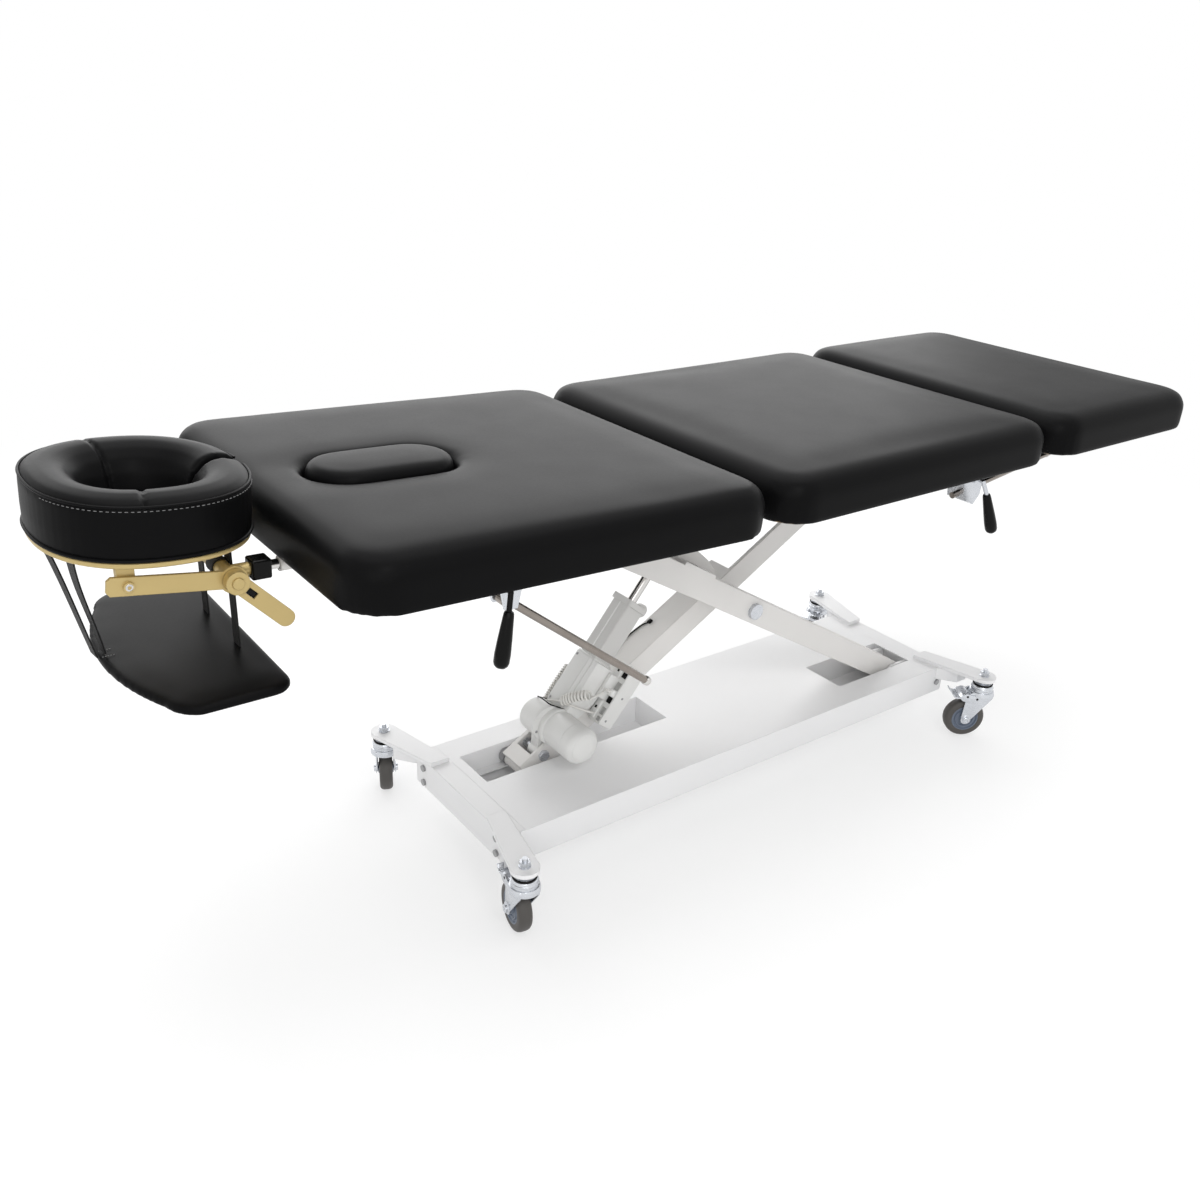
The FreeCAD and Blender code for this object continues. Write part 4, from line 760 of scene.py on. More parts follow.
def arc_points(start, through, end, steps):
    """Points on the circle through three places, without the last."""
    (ax, ay), (bx, by), (cx, cy) = start, through, end
    d = 2 * (ax * (by - cy) + bx * (cy - ay) + cx * (ay - by))
    a2, b2, c2 = ax * ax + ay * ay, bx * bx + by * by, cx * cx + cy * cy
    x = (a2 * (by - cy) + b2 * (cy - ay) + c2 * (ay - by)) / d
    y = (a2 * (cx - bx) + b2 * (ax - cx) + c2 * (bx - ax)) / d
    radius = math.hypot(ax - x, ay - y)
    first = math.atan2(ay - y, ax - x)
    turn = (math.atan2(cy - y, cx - x) - first) % math.tau
    if (math.atan2(by - y, bx - x) - first) % math.tau > turn:
        turn -= math.tau
    angles = [first + turn * number / steps for number in range(steps)]
    return [(x + radius * math.cos(angle), y + radius * math.sin(angle)) for angle in angles]


def shelf_form():
    """The shelf's pad: a straight back, rounded shoulders and a bowed front."""
    back, front, half = SHELF_HIGH.x - 0.002, SHELF_LOW.x + 0.002, SHELF_HIGH.y - 0.002
    side = back - 0.120
    shoulder = half - 0.045
    outline = arc_points((back, half - 0.03), (back - 0.009, half - 0.009), (back - 0.03, half), 6)
    outline += arc_points((side, half), (side - 0.025, half - 0.014), (side - 0.04, shoulder), 8)
    outline += arc_points((side - 0.04, shoulder), (front, 0), (side - 0.04, -shoulder), 28)
    outline += arc_points((side - 0.04, -shoulder), (side - 0.025, 0.014 - half), (side, -half), 8)
    outline += arc_points((back - 0.03, -half), (back - 0.009, 0.009 - half), (back, 0.03 - half), 6)
    outline.append((back, 0.03 - half))
    low, high = SHELF_LOW.z, SHELF_HIGH.z - 0.001
    shape = plate(outline, -high, -low)
    laid(shape, ALONG_Y)
    bevel(shape, edges_at(shape, high), 0.006, 4)
    bevel(shape, edges_at(shape, low), 0.004, 3)
    return shape


form = puffed(shelf_form(), "arm_shelf", 0.004, 3.0, 0.003, lambda place: place.z < SHELF_HIGH.z - 0.004)
made = cover("arm_shelf_vinyl", form, "cradle", "arm_shelf")

STRAP_THICK = 0.0022
STRAP_WIDTH = 0.022


def ribbon(points, first_side, last_side, width):
    """A flat strap along a line of points, whose flat side turns evenly from one direction to another."""
    shape = bmesh.new()
    half = first_side.normalized() * (width / 2)
    edge = shape.edges.new([shape.verts.new(points[0] - half), shape.verts.new(points[0] + half)])
    for number in range(1, len(points)):
        made = bmesh.ops.extrude_edge_only(shape, edges=[edge])
        edge = shape.edges.get(new_verts(made))
        half = first_side.lerp(last_side, number / (len(points) - 1)).normalized() * (width / 2)
        for vert in edge.verts:
            sign = 1 if (vert.co - points[number - 1]).dot(half) > 0 else -1
            vert.co = points[number] + half * sign
    bmesh.ops.recalc_face_normals(shape, faces=shape.faces)
    bmesh.ops.solidify(shape, geom=shape.faces[:], thickness=STRAP_THICK)
    return shape


def hung(first, first_pull, last_pull, last):
    """Points on a smooth line that leaves and reaches its ends as the two pulls say."""
    return geometry.interpolate_bezier(first, first + first_pull, last + last_pull, last, 18)


PLATE_LOW = node_box("cradle_plate")[1].z - 0.008
YOKE = joint_place("cradle_tilt")
ACROSS = Vector((0, 1, 0))
LOOP = 0.0135


def under_plate(x, y):
    """A point on the underside of the tilted plate."""
    return Vector((x, y, PLATE_LOW + (PILLOW_REAR.x - x) * math.tan(REST_TILT)))


def front_straps():
    """Two straps from the plate that meet on the shelf's front edge."""
    foot = Vector((SHELF_LOW.x - 0.001, 0.014, SHELF_HIGH.z - 0.004))
    far_top = under_plate(PILLOW_CENTRE.x - 0.122, 0.034)
    near_top = under_plate(PILLOW_CENTRE.x - 0.104, -0.056)
    near_foot = foot + Vector((0.010, -0.008, 0.006))
    far_line = hung(far_top, Vector((0.016, -0.012, -0.05)), Vector((-0.018, 0.0, 0.08)), foot)
    near_line = hung(near_top, Vector((0.004, 0.018, -0.06)), Vector((-0.010, -0.006, 0.064)), near_foot)
    sides = Vector((-0.2, 1, 0)), Vector((-0.1, 1, 0))
    return [ribbon(far_line, *sides, STRAP_WIDTH), ribbon(near_line, *sides, 0.020)]


def drop_straps():
    """A loop round the yoke on each side, falling to the shelf."""
    shapes = []
    for y in (-0.062, 0.062):
        turns = [math.radians(15 * number - 300) for number in range(21)]
        line = [YOKE + Vector((LOOP * math.cos(turn), y, LOOP * math.sin(turn))) for turn in turns]
        fall = YOKE + Vector((LOOP, y, 0))
        rest = Vector((fall.x, y, SHELF_HIGH.z - 0.001))
        line += [fall.lerp(rest, number / 8) for number in range(1, 9)]
        shapes.append(ribbon(line, ACROSS, ACROSS, STRAP_WIDTH))
    return shapes


straps = merged(front_straps() + drop_straps())
piece("shelf_webbing", straps, STRAP, "cradle", ["shelf_straps"])
stitches = []
for number in range(5):
    for row in (-0.008, 0.012):
        spot = Vector((SHELF_LOW.x + 0.006 + 0.0035 * number, row, SHELF_HIGH.z + 0.0012))
        stitches.append(laid(stitch(0.0012, 0.0004), Matrix.Translation(spot)))
piece("strap_stitches", merged(stitches), THREAD, "cradle")


# Casters, made with the stud on Z and the wheel behind it along +X
TRAIL = 0.030
WHEEL_RADIUS = 0.044
LEG_INNER = 0.015
LEG_OUTER = 0.018
CHEEK_INNER = 0.0188
CHEEK_OUTER = 0.0206
PEDAL_PIN = (0.014, 0.097)


def caster_place(corner):
    """The stud's place and the direction in which the wheel trails."""
    stud = joint_place("swivel_" + corner)
    back = joint_place("roll_" + corner) - stud
    return at(stud.x, stud.y, 0) @ Matrix.Rotation(math.atan2(back.y, back.x), 4, "Z")


def on_axle(shape):
    return laid(shape, at(TRAIL, 0, WHEEL_RADIUS), ALONG_Y)


def two_sided(half):
    """A ring turned from half of its section, the other half mirrored."""
    return turned(half + [(radius, -width) for radius, width in reversed(half)], 64, closed=True)


def rod(radius, half, steps):
    """A plain pin, half of it on each side of its middle."""
    return turned([(0, -half), (radius, -half), (radius, half), (0, half)], steps)


def fork_shape():
    """Pressed legs with an embossed axle end, the crown with its skirt, and the rings of the swivel."""
    outline = [(-0.023, 0.1115), (0.026, 0.1115), (0.037, 0.099), (0.040, 0.062), (0.041, 0.044),
               (0.030, 0.033), (0.019, 0.044), (-0.008, 0.080), (-0.022, 0.098)]
    shapes = []
    for side in (-1, 1):
        inner, outer = sorted((side * LEG_INNER, side * LEG_OUTER))
        shapes.append(plate(outline, inner, outer, 0.005, 0.0008))
        boss = turned([(0, 0), (0.0115, 0), (0.0100, 0.0016), (0.0075, 0.0016), (0.0075, 0.0044),
                       (0.0064, 0.0054), (0.0035, 0.0054), (0.0030, 0.0042), (0, 0.0042)], 36)
        turn = ALONG_Y if side > 0 else AGAINST_Y
        shapes.append(laid(boss, at(TRAIL, side * LEG_OUTER, WHEEL_RADIUS), turn))
    crown = turned([(0, 0.106), (0.0235, 0.106), (0.0262, 0.1005), (0.0272, 0.1010), (0.0268, 0.1085),
                    (0.0255, 0.1122), (0.0232, 0.1128), (0.0228, 0.1165), (0.0238, 0.1172),
                    (0.0238, 0.1202), (0.0226, 0.1210), (0.0222, 0.1240), (0.0208, 0.1258), (0, 0.1258)],
                   56)
    shapes.append(crown)
    shapes.append(on_axle(rod(0.0038, 0.0175, 24)))
    return merged(shapes)


def tyre_shape():
    half = [(0.0285, 0.0118), (0.0330, 0.0128), (0.0375, 0.0126), (0.0408, 0.0112), (0.0430, 0.0085),
            (0.0440, 0.0045)]
    return on_axle(two_sided(half))


def hub_shape():
    half = [(0.0042, 0.0146), (0.0102, 0.0146), (0.0112, 0.0138), (0.0122, 0.0098), (0.0178, 0.0088),
            (0.0190, 0.0112), (0.0212, 0.0116), (0.0224, 0.0092), (0.0252, 0.0092), (0.0270, 0.0122),
            (0.0290, 0.0122)]
    return on_axle(two_sided(half))


def pedal_shape():
    """A bent channel on its pin, with an upturned tread."""
    cheek = [(0.007, 0.0945), (0.012, 0.0885), (0.026, 0.0870), (0.046, 0.0920), (0.052, 0.0990),
             (0.046, 0.1075), (0.037, 0.1100), (0.026, 0.1060), (0.010, 0.1035)]
    tread = [(0.045, 0.1055), (0.050, 0.0985), (0.060, 0.0975), (0.067, 0.1025), (0.0695, 0.1085),
             (0.0665, 0.1085), (0.0635, 0.1040), (0.0590, 0.1010), (0.0525, 0.1020), (0.0475, 0.1075)]
    web = [(0.0260, 0.1040), (0.0370, 0.1080), (0.0460, 0.1055), (0.0475, 0.1075), (0.0370, 0.1102),
           (0.0250, 0.1060)]
    shapes = [plate(cheek, CHEEK_INNER, CHEEK_OUTER, 0.0035, 0.0005),
              plate(cheek, -CHEEK_OUTER, -CHEEK_INNER, 0.0035, 0.0005),
              plate(web, -0.0190, 0.0190, 0.001, 0.0005), plate(tread, -0.0210, 0.0210, 0.0008, 0.0012)]
    for ridge in (0.0535, 0.0570, 0.0605):
        shapes.append(block((ridge, -0.018, 0.1010), (ridge + 0.0015, 0.018, 0.1030), 0.0005))
    shapes.append(laid(rod(0.0028, CHEEK_INNER, 20), at(PEDAL_PIN[0], 0, PEDAL_PIN[1]), ALONG_Y))
    return merged(shapes)


def pedal_pin_shade_dots():
    """Black discs on the ends of the pedal's two pins: painted shade where the ends are sunk."""
    shapes = []
    for x, z in (PEDAL_PIN, (0.036, 0.103)):
        for side, turn in ((1, ALONG_Y), (-1, AGAINST_Y)):
            dot = turned([(0, 0), (0.0026, 0), (0.0026, 0.0005), (0.0016, 0.0007), (0, 0.0004)], 20)
            shapes.append(laid(dot, at(x, side * CHEEK_OUTER, z), turn))
    return merged(shapes)


gap_shade_rings = []
for corner in CORNERS:
    place = caster_place(corner)
    fork, wheel, pedal = "fork_" + corner, "wheel_" + corner, "pedal_" + corner
    piece("fork_skin_" + corner, laid(fork_shape(), place), ZINC, fork, [fork])
    piece("tyre_" + corner, laid(tyre_shape(), place), TYRE, wheel, [wheel])
    piece("hub_" + corner, laid(hub_shape(), place), HUB, wheel)
    piece("pedal_skin_" + corner, laid(pedal_shape(), place), ZINC, pedal, [pedal])
    # The discs on the pedal's pin ends are painted shade.
    piece("pedal_pin_shade_dots_" + corner, laid(pedal_pin_shade_dots(), place), BLACK_PLASTIC, pedal)
    # A black ring in the gap above the swivel's zinc rings: painted shade of that gap, not a part of its
    # own.
    gap_shade_ring = turned([(0.0192, 0.1264), (0.0212, 0.1264), (0.0216, 0.1290), (0.0205, 0.1302),
                   (0.0192, 0.1302)], 40, True)
    gap_shade_rings.append(laid(gap_shade_ring, place))
piece("swivel_gap_shade_rings", merged(gap_shade_rings), BLACK_PLASTIC, "base")

# Actuator, made along +X from its lower eye with its broad face up
STROKE = Vector(JOINTS["actuator_stroke"]["axis"])
EYE = joint_place("actuator_swing")
ACTUATOR = at(EYE.x, 0, EYE.z) @ Matrix.Rotation(-math.atan2(STROKE.z, STROKE.x), 4, "Y")
MIDDLE_Y = EYE.y


def actuator_piece(name, shape, material, replaced=()):
    """A piece made in the actuator's own directions."""
    return piece(name, laid(shape, ACTUATOR), material, "actuator", replaced)


def motor_shape():
    profile = [(0, 0), (0.0372, 0), (0.0378, 0.0012), (0.0378, 0.0100), (0.0368, 0.0116), (0.0350, 0.0122),
               (0.0347, 0.0150), (0.0350, 0.0168), (0.0352, 0.0640), (0.0345, 0.0648), (0.0345, 0.0660),
               (0.0352, 0.0668), (0.0352, 0.0850), (0.0340, 0.0885), (0.0285, 0.0955), (0.0272, 0.0964),
               (0.0262, 0.0958), (0.0250, 0.0966), (0.0150, 0.0976), (0, 0.0978)]
    return laid(turned(profile, 64), at(0.060, 0.016, 0.020), AGAINST_Y)


actuator_piece("motor_skin", motor_shape(), CASE_PLASTIC, ["motor"])


def case_shape():
    """The lower eye and neck, the gear drum, and the broad case in three shells with narrow joints."""
    eye = turned([(0.0062, -0.014), (0.0128, -0.014), (0.0140, -0.0128), (0.0140, 0.0128), (0.0128, 0.014),
                  (0.0062, 0.014)], 40, True)
    neck = plate([(0.004, -0.0110), (0.038, 0.004), (0.060, 0.008), (0.060, 0.030), (0.030, 0.030),
                  (0.004, 0.0125)],
                 MIDDLE_Y - 0.012, MIDDLE_Y + 0.012, 0.0015, 0.0015)
    drum = turned([(0, 0), (0.0345, 0), (0.0352, 0.001), (0.0352, 0.009), (0.0340, 0.0100),
                   (0.0330, 0.0108), (0.0330, 0.0440), (0.0318, 0.0490), (0.0280, 0.0528), (0.0200, 0.0540),
                   (0, 0.0540)], 64)
    shapes = [laid(eye, at(0, MIDDLE_Y, 0), ALONG_Y), neck, laid(drum, at(0.058, 0.016, 0.036), ALONG_Y)]
    outline = [(0.0805, 0.0065), (0.092, -0.008), (0.130, -0.023), (0.203, -0.027), (0.203, 0.027),
               (0.098, 0.0275), (0.086, 0.025), (0.0805, 0.018)]
    for low, high, rim in ((0.0, 0.0135, 0.0020), (0.0145, 0.0255, 0.0010), (0.0265, 0.066, 0.0022)):
        shapes.append(plate(outline, low, high, 0.0, rim))
    core = [(x * 0.985 + 0.0022, z * 0.965) for x, z in outline]
    shapes.append(plate(core, 0.004, 0.062))
    collar = block((0.196, MIDDLE_Y - 0.0265, -0.0265), (0.2075, MIDDLE_Y + 0.0255, 0.0262), 0.003, 3)
    shapes.append(collar)
    return merged(shapes)


actuator_piece("actuator_case", case_shape(), CASE_PLASTIC, ["actuator_housing"])


def case_screws():
    """Small screws on the drum's collar and the case."""
    shapes = []
    for s, y, n, way in ((0.0340, 0.0162, 0.0520, (-0.3, -1, 0.4)), (0.0300, 0.0150, 0.0200, (0, -1, 0)),
                         (0.196, 0.060, 0.0272, (0, 0, 1)), (0.100, 0.060, 0.0276, (0, 0, 1))):
        screw = turned([(0, -0.002), (0.0026, -0.002), (0.0026, 0.0006), (0.0020, 0.0010), (0.0008, 0.0010),
                        (0.0006, 0.0002), (0, 0.0002)], 20)
        shapes.append(laid(screw, facing((s, y, n), way)))
    return merged(shapes)


actuator_piece("case_screws", case_screws(), DARK_ZINC)
rib = block((0.209, MIDDLE_Y - 0.0016, 0.0226), (0.3225, MIDDLE_Y + 0.0016, 0.0236), 0.0004)
actuator_piece("tube_rib", rib, STRIP_PLASTIC)

# Control box with its strip of sockets
BOX_FACE = -0.038


def control_case():
    """The box, the hanger that holds it to the case, and a lip along its face."""
    case = block((0.104, -0.024, -0.076), (0.230, 0.014, BOX_FACE), 0.0035, 3)
    hanger = block((0.148, -0.008, -0.042), (0.198, -0.0003, -0.012), 0.0012)
    lip = block((0.106, -0.0235, BOX_FACE - 0.001), (0.228, -0.0222, BOX_FACE + 0.0012), 0.0005)
    return merged([case, hanger, lip])


actuator_piece("control_case", control_case(), CASE_PLASTIC, ["control_box"])
strip = [block((0.110, -0.0035, BOX_FACE - 0.001), (0.226, 0.0115, BOX_FACE + 0.0030), 0.0009),
         block((0.161, -0.0190, BOX_FACE - 0.001), (0.175, -0.0070, BOX_FACE + 0.0085), 0.0012),
         block((0.164, -0.0020, BOX_FACE + 0.002), (0.176, 0.0080, BOX_FACE + 0.0085), 0.0010),
         block((0.150, 0.0010, BOX_FACE + 0.002), (0.159, 0.0090, BOX_FACE + 0.0060), 0.0008)]
actuator_piece("socket_strip", merged(strip), STRIP_PLASTIC)


def socket(s, y, wide, high):
    """A raised socket frame with a sunk middle."""
    low = (s - wide / 2, y - high / 2, BOX_FACE - 0.001)
    shape = block(low, (s + wide / 2, y + high / 2, BOX_FACE + 0.0016), 0.0006)
    top = max(shape.faces, key=lambda face: face.calc_center_median().z)
    bmesh.ops.inset_region(shape, faces=[top], thickness=0.0014, depth=-0.0014)
    return shape


black = [socket(0.154, -0.0145, 0.0125, 0.0110), socket(0.209, -0.0145, 0.0130, 0.0115)]
for s in (0.130, 0.187, 0.211):
    black.append(block((s - 0.0026, 0.0015, BOX_FACE + 0.0025), (s + 0.0026, 0.0062, BOX_FACE + 0.0040),
                       0.0005))
actuator_piece("black_sockets", merged(black), BLACK_PLASTIC)
grey = [socket(0.130, -0.0145, 0.0150, 0.0100), socket(0.184, -0.0145, 0.0160, 0.0105),
        socket(0.1135, -0.0150, 0.0085, 0.0080)]
actuator_piece("grey_sockets", merged(grey), GREY_PLASTIC)
side_screws = []
for s, n in ((0.116, -0.050), (0.168, -0.056), (0.219, -0.050)):
    screw = turned([(0, -0.002), (0.0024, -0.002), (0.0024, 0.0005), (0.0016, 0.0009), (0, 0.0006)], 18)
    side_screws.append(laid(screw, at(s, -0.024, n), AGAINST_Y))
actuator_piece("box_screws", merged(side_screws), DARK_ZINC)

# Curly lead from the case to the control box
COIL_START = Vector((0.108, 0.014, 0.0375))
COIL_END = Vector((0.146, -0.030, 0.030))
COIL_FOOT = Vector((0.168, -0.013, BOX_FACE))
COIL_TURNS = 9
COIL_RADIUS = 0.0084
PER_TURN = 14


def helix(start, end, radius, turns, arch):
    """Points of a coil between two places, its axis raised in the middle."""
    way = (end - start).normalized()
    lift = (Vector((0, 0, 1)) - way * way.z).normalized()
    side = way.cross(lift)
    points = []
    for number in range(turns * PER_TURN + 1):
        share = number / (turns * PER_TURN)
        turn = math.tau * turns * share
        axis = start.lerp(end, share) + lift * (arch * math.sin(math.pi * share))
        points.append(axis + side * (radius * math.cos(turn)) + lift * (radius * math.sin(turn)))
    return points


first = Vector((COIL_START.x - 0.002, COIL_START.y + 0.016, 0.0265))
lead = [first, first + Vector((0, 0, 0.003)), first + Vector((0, -0.001, 0.0065))]
lead += helix(COIL_START, COIL_END, COIL_RADIUS, COIL_TURNS, 0.006)
lead += [Vector((0.152, -0.036, 0.020)), Vector((0.162, -0.030, 0.004)), COIL_FOOT + Vector((0, 0, 0.026)),
         COIL_FOOT + Vector((0, 0, 0.016)), COIL_FOOT + Vector((0, 0, 0.008))]
lead = [ACTUATOR @ point for point in lead]
coil_lead, coil_line = cord("coil_lead", lead, 0.0023, CORD_SHEATH, "actuator",
                            ["coil_cord"])
line_length(coil_line)


def actuator_wire(name, points, radius, material):
    """A small lead on the actuator, in the actuator's own directions."""
    cord(name, [ACTUATOR @ Vector(point) for point in points], radius, material, "actuator")


# Second curl behind the case, the plain cable across its lower end and the dark wire at the drum
curl = helix(Vector((0.090, 0.0720, 0.022)), Vector((0.168, 0.0730, 0.019)), 0.0046, 15, 0.002)
curl = [(0.082, 0.066, 0.020), (0.085, 0.070, 0.022)] + curl
curl += [(0.174, 0.070, 0.016), (0.180, 0.066, 0.012)]
actuator_wire("curl_lead", curl, 0.0017, CORD_SHEATH)
cable = [(0.084, 0.0690, 0.020), (0.082, 0.066, 0.034), (0.092, 0.052, 0.0370), (0.100, 0.034, 0.0350),
         (0.106, 0.016, 0.0340), (0.108, 0.003, 0.032), (0.111, -0.006, 0.014), (0.115, -0.009, -0.012),
         (0.117, -0.006, -0.029), (0.118, 0.000, -0.0345)]
actuator_wire("plain_lead", cable, 0.0022, CORD_SHEATH)
wire = [(0.092, 0.0680, 0.024), (0.087, 0.067, 0.048), (0.090, 0.056, 0.058), (0.091, 0.036, 0.057),
        (0.090, 0.022, 0.055), (0.093, 0.014, 0.046), (0.096, 0.008, 0.0285)]
actuator_wire("dark_wire", wire, 0.0012, BLACK_PLASTIC)

# Thin cable with its clip along the lower scissor arm
CROSS = joint_place("arm_b_cross")
ROLLER = joint_place("lower_roller_spin")
ARM_LEAN = math.atan2(CROSS.z - ROLLER.z, ROLLER.x - CROSS.x) + math.pi
ARM = at(CROSS.x, 0, CROSS.z) @ Matrix.Rotation(ARM_LEAN, 4, "Y")
arm_line = [(-0.262, 0.0785, 0.020), (-0.250, 0.0800, 0.0262), (-0.215, 0.0800, 0.0268),
            (-0.180, 0.0790, 0.0268), (-0.158, 0.0760, 0.0268), (-0.148, 0.0700, 0.0262),
            (-0.142, 0.0670, 0.0250)]
arm_line = [ARM @ Vector(point) for point in arm_line]
cord("arm_cable", arm_line, 0.0016, BLACK_PLASTIC, "arm_b")
clip = block((-0.148, 0.0630, 0.0248), (-0.138, 0.0720, 0.0290), 0.0012)
piece("cable_clip", laid(clip, ARM), BLACK_PLASTIC, "arm_b")


# Grips, the stay's end cap and the gold parts' trim
def grip_shape(top, foot):
    """A tapered grip with a rounded end, hanging from its stem."""
    way = Vector(foot) - Vector(top)
    length = way.length
    profile = [(0, -0.002), (0.0062, -0.002), (0.0072, 0.0005), (0.0078, 0.006), (0.0102, length * 0.55),
               (0.0114, length * 0.85), (0.0112, length + 0.002), (0.0098, length + 0.0065),
               (0.0066, length + 0.0098), (0, length + 0.0112)]
    return laid(turned(profile, 40), facing(top, way))


grip = laid(grip_shape((-0.593, -0.330, 0.637), (-0.605, -0.335, 0.571)), head_turn())
piece("head_grip_skin", grip, BLACK_PLASTIC, "head_lever", ["head_grip"])
grip = grip_shape((0.440, -0.330, 0.634), (0.4655, -0.335, 0.568))
piece("foot_grip_skin", grip, BLACK_PLASTIC, "foot_lever", ["foot_grip"])

LOCK = joint_place("head_rod_swing")
ROD_LEAN = math.radians(38)
ROD_WAY = Vector((math.cos(ROD_LEAN), 0, -math.sin(ROD_LEAN)))
ROD_END = LOCK + ROD_WAY * 0.335
cap = turned([(0, -0.004), (0.0066, -0.004), (0.0074, -0.003), (0.0076, 0.002), (0.0070, 0.0052),
              (0.0050, 0.0078), (0, 0.0088)], 36)
piece("stay_end_cap", laid(cap, facing(ROD_END, ROD_WAY)), CHROME, "head_rod")


def bolt_head(radius, depth):
    """A pan head with a round sunk middle."""
    return turned([(0, -0.001), (radius, -0.001), (radius, depth * 0.45), (radius * 0.86, depth * 0.85),
                   (radius * 0.55, depth), (radius * 0.42, depth), (radius * 0.38, depth * 0.35),
                   (0, depth * 0.35)], 32)


BAR_FAR = Vector((PILLOW_LOW.x + PILLOW_RADIUS - 0.063, 0, PILLOW_LOW.z - 0.024))
BAR_WAY = (BAR_FAR - YOKE).normalized()
BOLT = BAR_FAR - BAR_WAY * 0.014
BAR_FACE = 0.1212
bar_bolts = [laid(bolt_head(0.0056, 0.0046), at(BOLT.x, BAR_FACE, BOLT.z), ALONG_Y),
             laid(bolt_head(0.0056, 0.0046), at(BOLT.x, -BAR_FACE, BOLT.z), AGAINST_Y)]
piece("bar_bolts", merged(bar_bolts), CHROME, "cradle")
CAM = at(YOKE.x, 0, YOKE.z) @ Matrix.Rotation(math.radians(47), 4, "Y")
# A black sheet behind the cam lever's slot: painted shade that stands for the dark inside of the slot.
slot_shade_sheet = block((0.0185, -0.1310, -0.0043), (0.0335, -0.1280, 0.0043), 0.0006)
piece("cam_slot_painted_shade", laid(slot_shade_sheet, CAM), BLACK_PLASTIC, "cam_lever")
boss = turned([(0.0086, 0), (0.0205, 0), (0.0212, 0.0008), (0.0212, 0.0020), (0.0200, 0.0028),
               (0.0165, 0.0030), (0.0158, 0.0040), (0.0086, 0.0040)], 48, True)
piece("boss_ring", laid(boss, at(YOKE.x, BAR_FACE, YOKE.z), ALONG_Y), GOLD, "cradle")


# Floor, light and camera
def background_rays(tree):
    """One for the rays that show the background: from the camera, off gloss and through glass."""
    camera_ray = tree.node("ShaderNodeLightPath", output=0)
    glossy_ray = tree.node("ShaderNodeLightPath", output=3)
    transmission_ray = tree.node("ShaderNodeLightPath", output=6)
    return tree.maths("MAXIMUM", tree.maths("MAXIMUM", camera_ray, glossy_ray), transmission_ray)


FADE_START = 1.5
FADE_END = 3.0
floor_shape = bmesh.new()
bmesh.ops.create_grid(floor_shape, x_segments=1, y_segments=1, size=40.0)
floor_mesh = as_mesh("floor", floor_shape)
floor = linked("floor", floor_mesh)
floor_material, tree = new_material("pale floor")
place = own_place(tree)
radius = tree.node("ShaderNodeVectorMath", {0: place}, output=1, operation="LENGTH")
fade = tree.node("ShaderNodeMapRange", {0: radius, 1: FADE_START, 2: FADE_END, 3: 0.0, 4: 1.0},
                 interpolation_type="SMOOTHSTEP")
seen = background_rays(tree)
plain = tree.node("ShaderNodeBsdfDiffuse", {"Color": (0.9, 0.9, 0.9, 1)})
shaded = tree.node("ShaderNodeBsdfDiffuse", {"Color": (0.42, 0.42, 0.42, 1)})
glow = tree.node("ShaderNodeEmission", {"Color": (1, 1, 1, 1), "Strength": 0.60})
near = tree.node("ShaderNodeAddShader", {0: shaded, 1: glow})
far = tree.node("ShaderNodeEmission", {"Color": (1, 1, 1, 1), "Strength": 1.0})
shown = tree.node("ShaderNodeMixShader", {0: fade, 1: near, 2: far})
surface = tree.node("ShaderNodeMixShader", {0: seen, 1: plain, 2: shown})
tree.node("ShaderNodeOutputMaterial", {"Surface": surface})
floor_mesh.materials.append(floor_material)

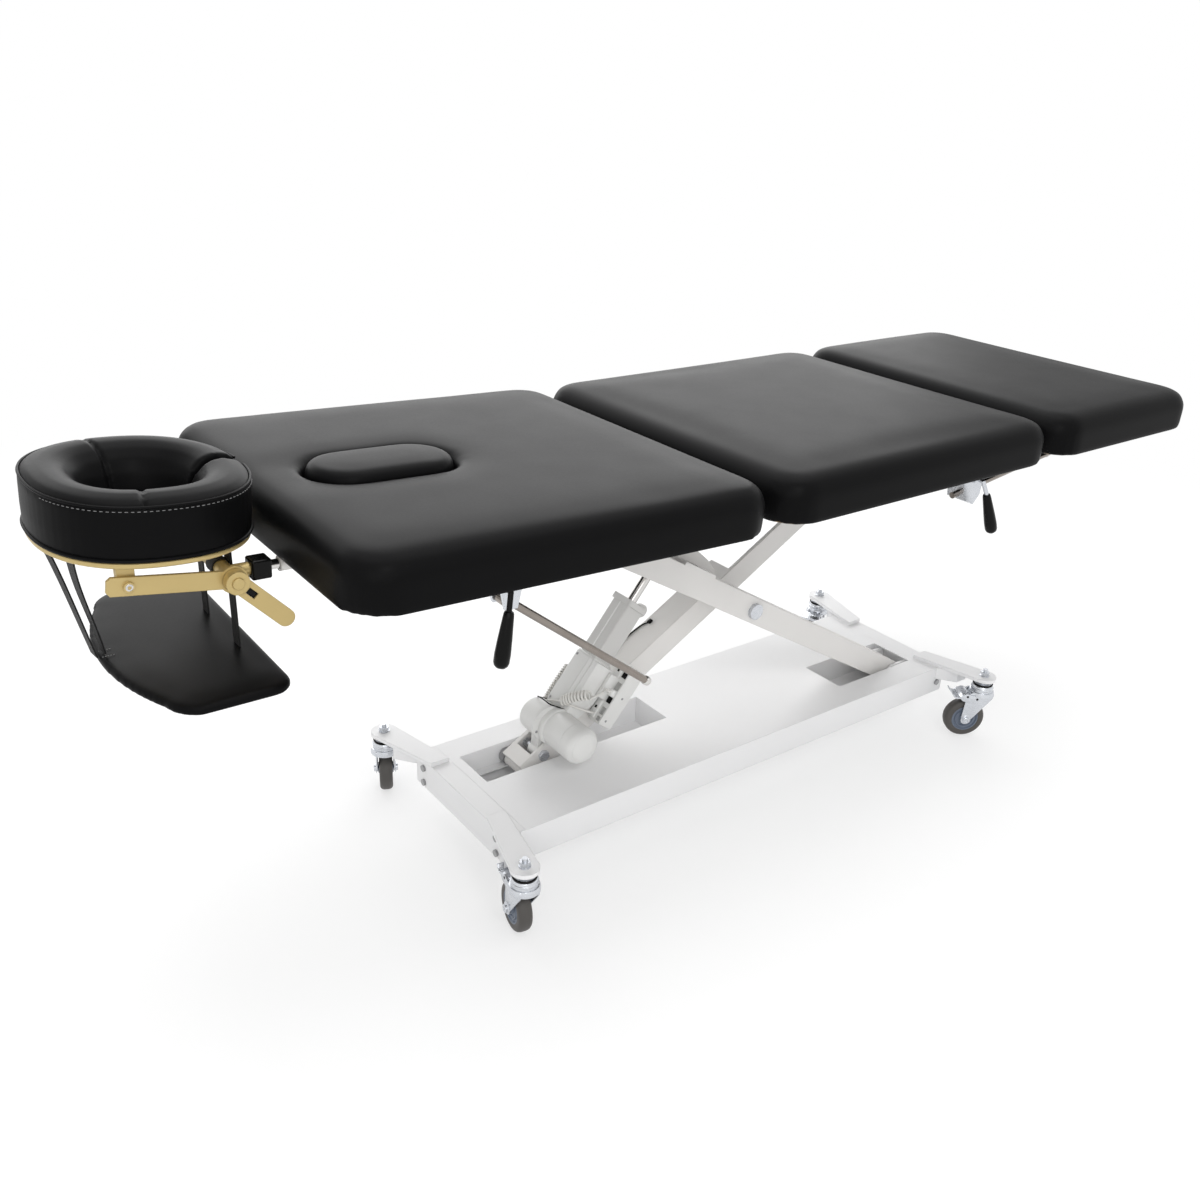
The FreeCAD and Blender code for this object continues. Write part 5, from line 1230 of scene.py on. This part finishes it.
world = bpy.data.worlds.new("studio")
bpy.context.scene.world = world
world.use_nodes = True
world.node_tree.nodes.clear()
sky = Socket(world.node_tree)
seen = background_rays(sky)
way = sky.node("ShaderNodeTexCoord", output=0)
height = sky.node("ShaderNodeSeparateXYZ", {0: way}, output=2)
tone = sky.node("ShaderNodeValToRGB", {"Fac": height * 0.5 + 0.5},
                stops=[(0.0, (0.75, 0.75, 0.75, 1)), (0.5, (0.95, 0.95, 0.95, 1)),
                       (1.0, (0.62, 0.62, 0.62, 1))])
lit = sky.node("ShaderNodeBackground", {"Color": tone, "Strength": 0.92})
shown = sky.node("ShaderNodeBackground", {"Color": (1, 1, 1, 1), "Strength": 1.0})
both = sky.node("ShaderNodeMixShader", {0: seen, 1: lit, 2: shown})
sky.node("ShaderNodeOutputWorld", {"Surface": both})


def softbox(name, place, aim, size, power):
    """A broad lamp that faces a place on the table."""
    light = bpy.data.lights.new(name, "AREA")
    light.shape = "RECTANGLE"
    light.size, light.size_y = size
    light.energy = power
    lamp = linked(name, light)
    lamp.location = place
    lamp.rotation_euler = (Vector(aim) - Vector(place)).to_track_quat("-Z", "Y").to_euler()


softbox("back", (1.6, 4.2, 2.4), (0.0, 0.0, 0.7), (7.0, 3.2), 130.0)
softbox("overhead", (0.2, 0.4, 3.6), (0.1, 0.0, 0.6), (4.0, 3.0), 70.0)
softbox("key", (-0.9, -2.6, 3.0), (0.0, 0.0, 0.5), (0.6, 0.6), 16.0)
softbox("front", (-2.4, -3.4, 2.2), (0.0, 0.0, 0.4), (3.0, 2.2), 24.0)

YAW = -0.656
PITCH = 0.435
ROLL = 0.046
SENSOR_WIDTH = 36.0
FOCAL_PIXELS = 1151.7
PHOTO_PIXELS = 1200.0
CAMERA = Vector((HEAD_PIVOT.x - 1.23835, -1.4974, 1.3218))
forward = Vector((-math.sin(YAW) * math.cos(PITCH), math.cos(YAW) * math.cos(PITCH), -math.sin(PITCH)))
level_right = Vector((math.cos(YAW), math.sin(YAW), 0))
level_up = level_right.cross(forward)
right = math.cos(ROLL) * level_right + math.sin(ROLL) * level_up
up = -math.sin(ROLL) * level_right + math.cos(ROLL) * level_up
lens = bpy.data.cameras.new("camera")
lens.sensor_fit = "HORIZONTAL"
lens.sensor_width = SENSOR_WIDTH
lens.lens = SENSOR_WIDTH * FOCAL_PIXELS / PHOTO_PIXELS
camera = linked("camera", lens)
camera.matrix_world = Matrix((
    (right.x, up.x, -forward.x, CAMERA.x),
    (right.y, up.y, -forward.y, CAMERA.y),
    (right.z, up.z, -forward.z, CAMERA.z),
    (0, 0, 0, 1)))
bpy.context.scene.camera = camera
bpy.context.scene.view_settings.view_transform = "Standard"

bpy.context.view_layer.update()
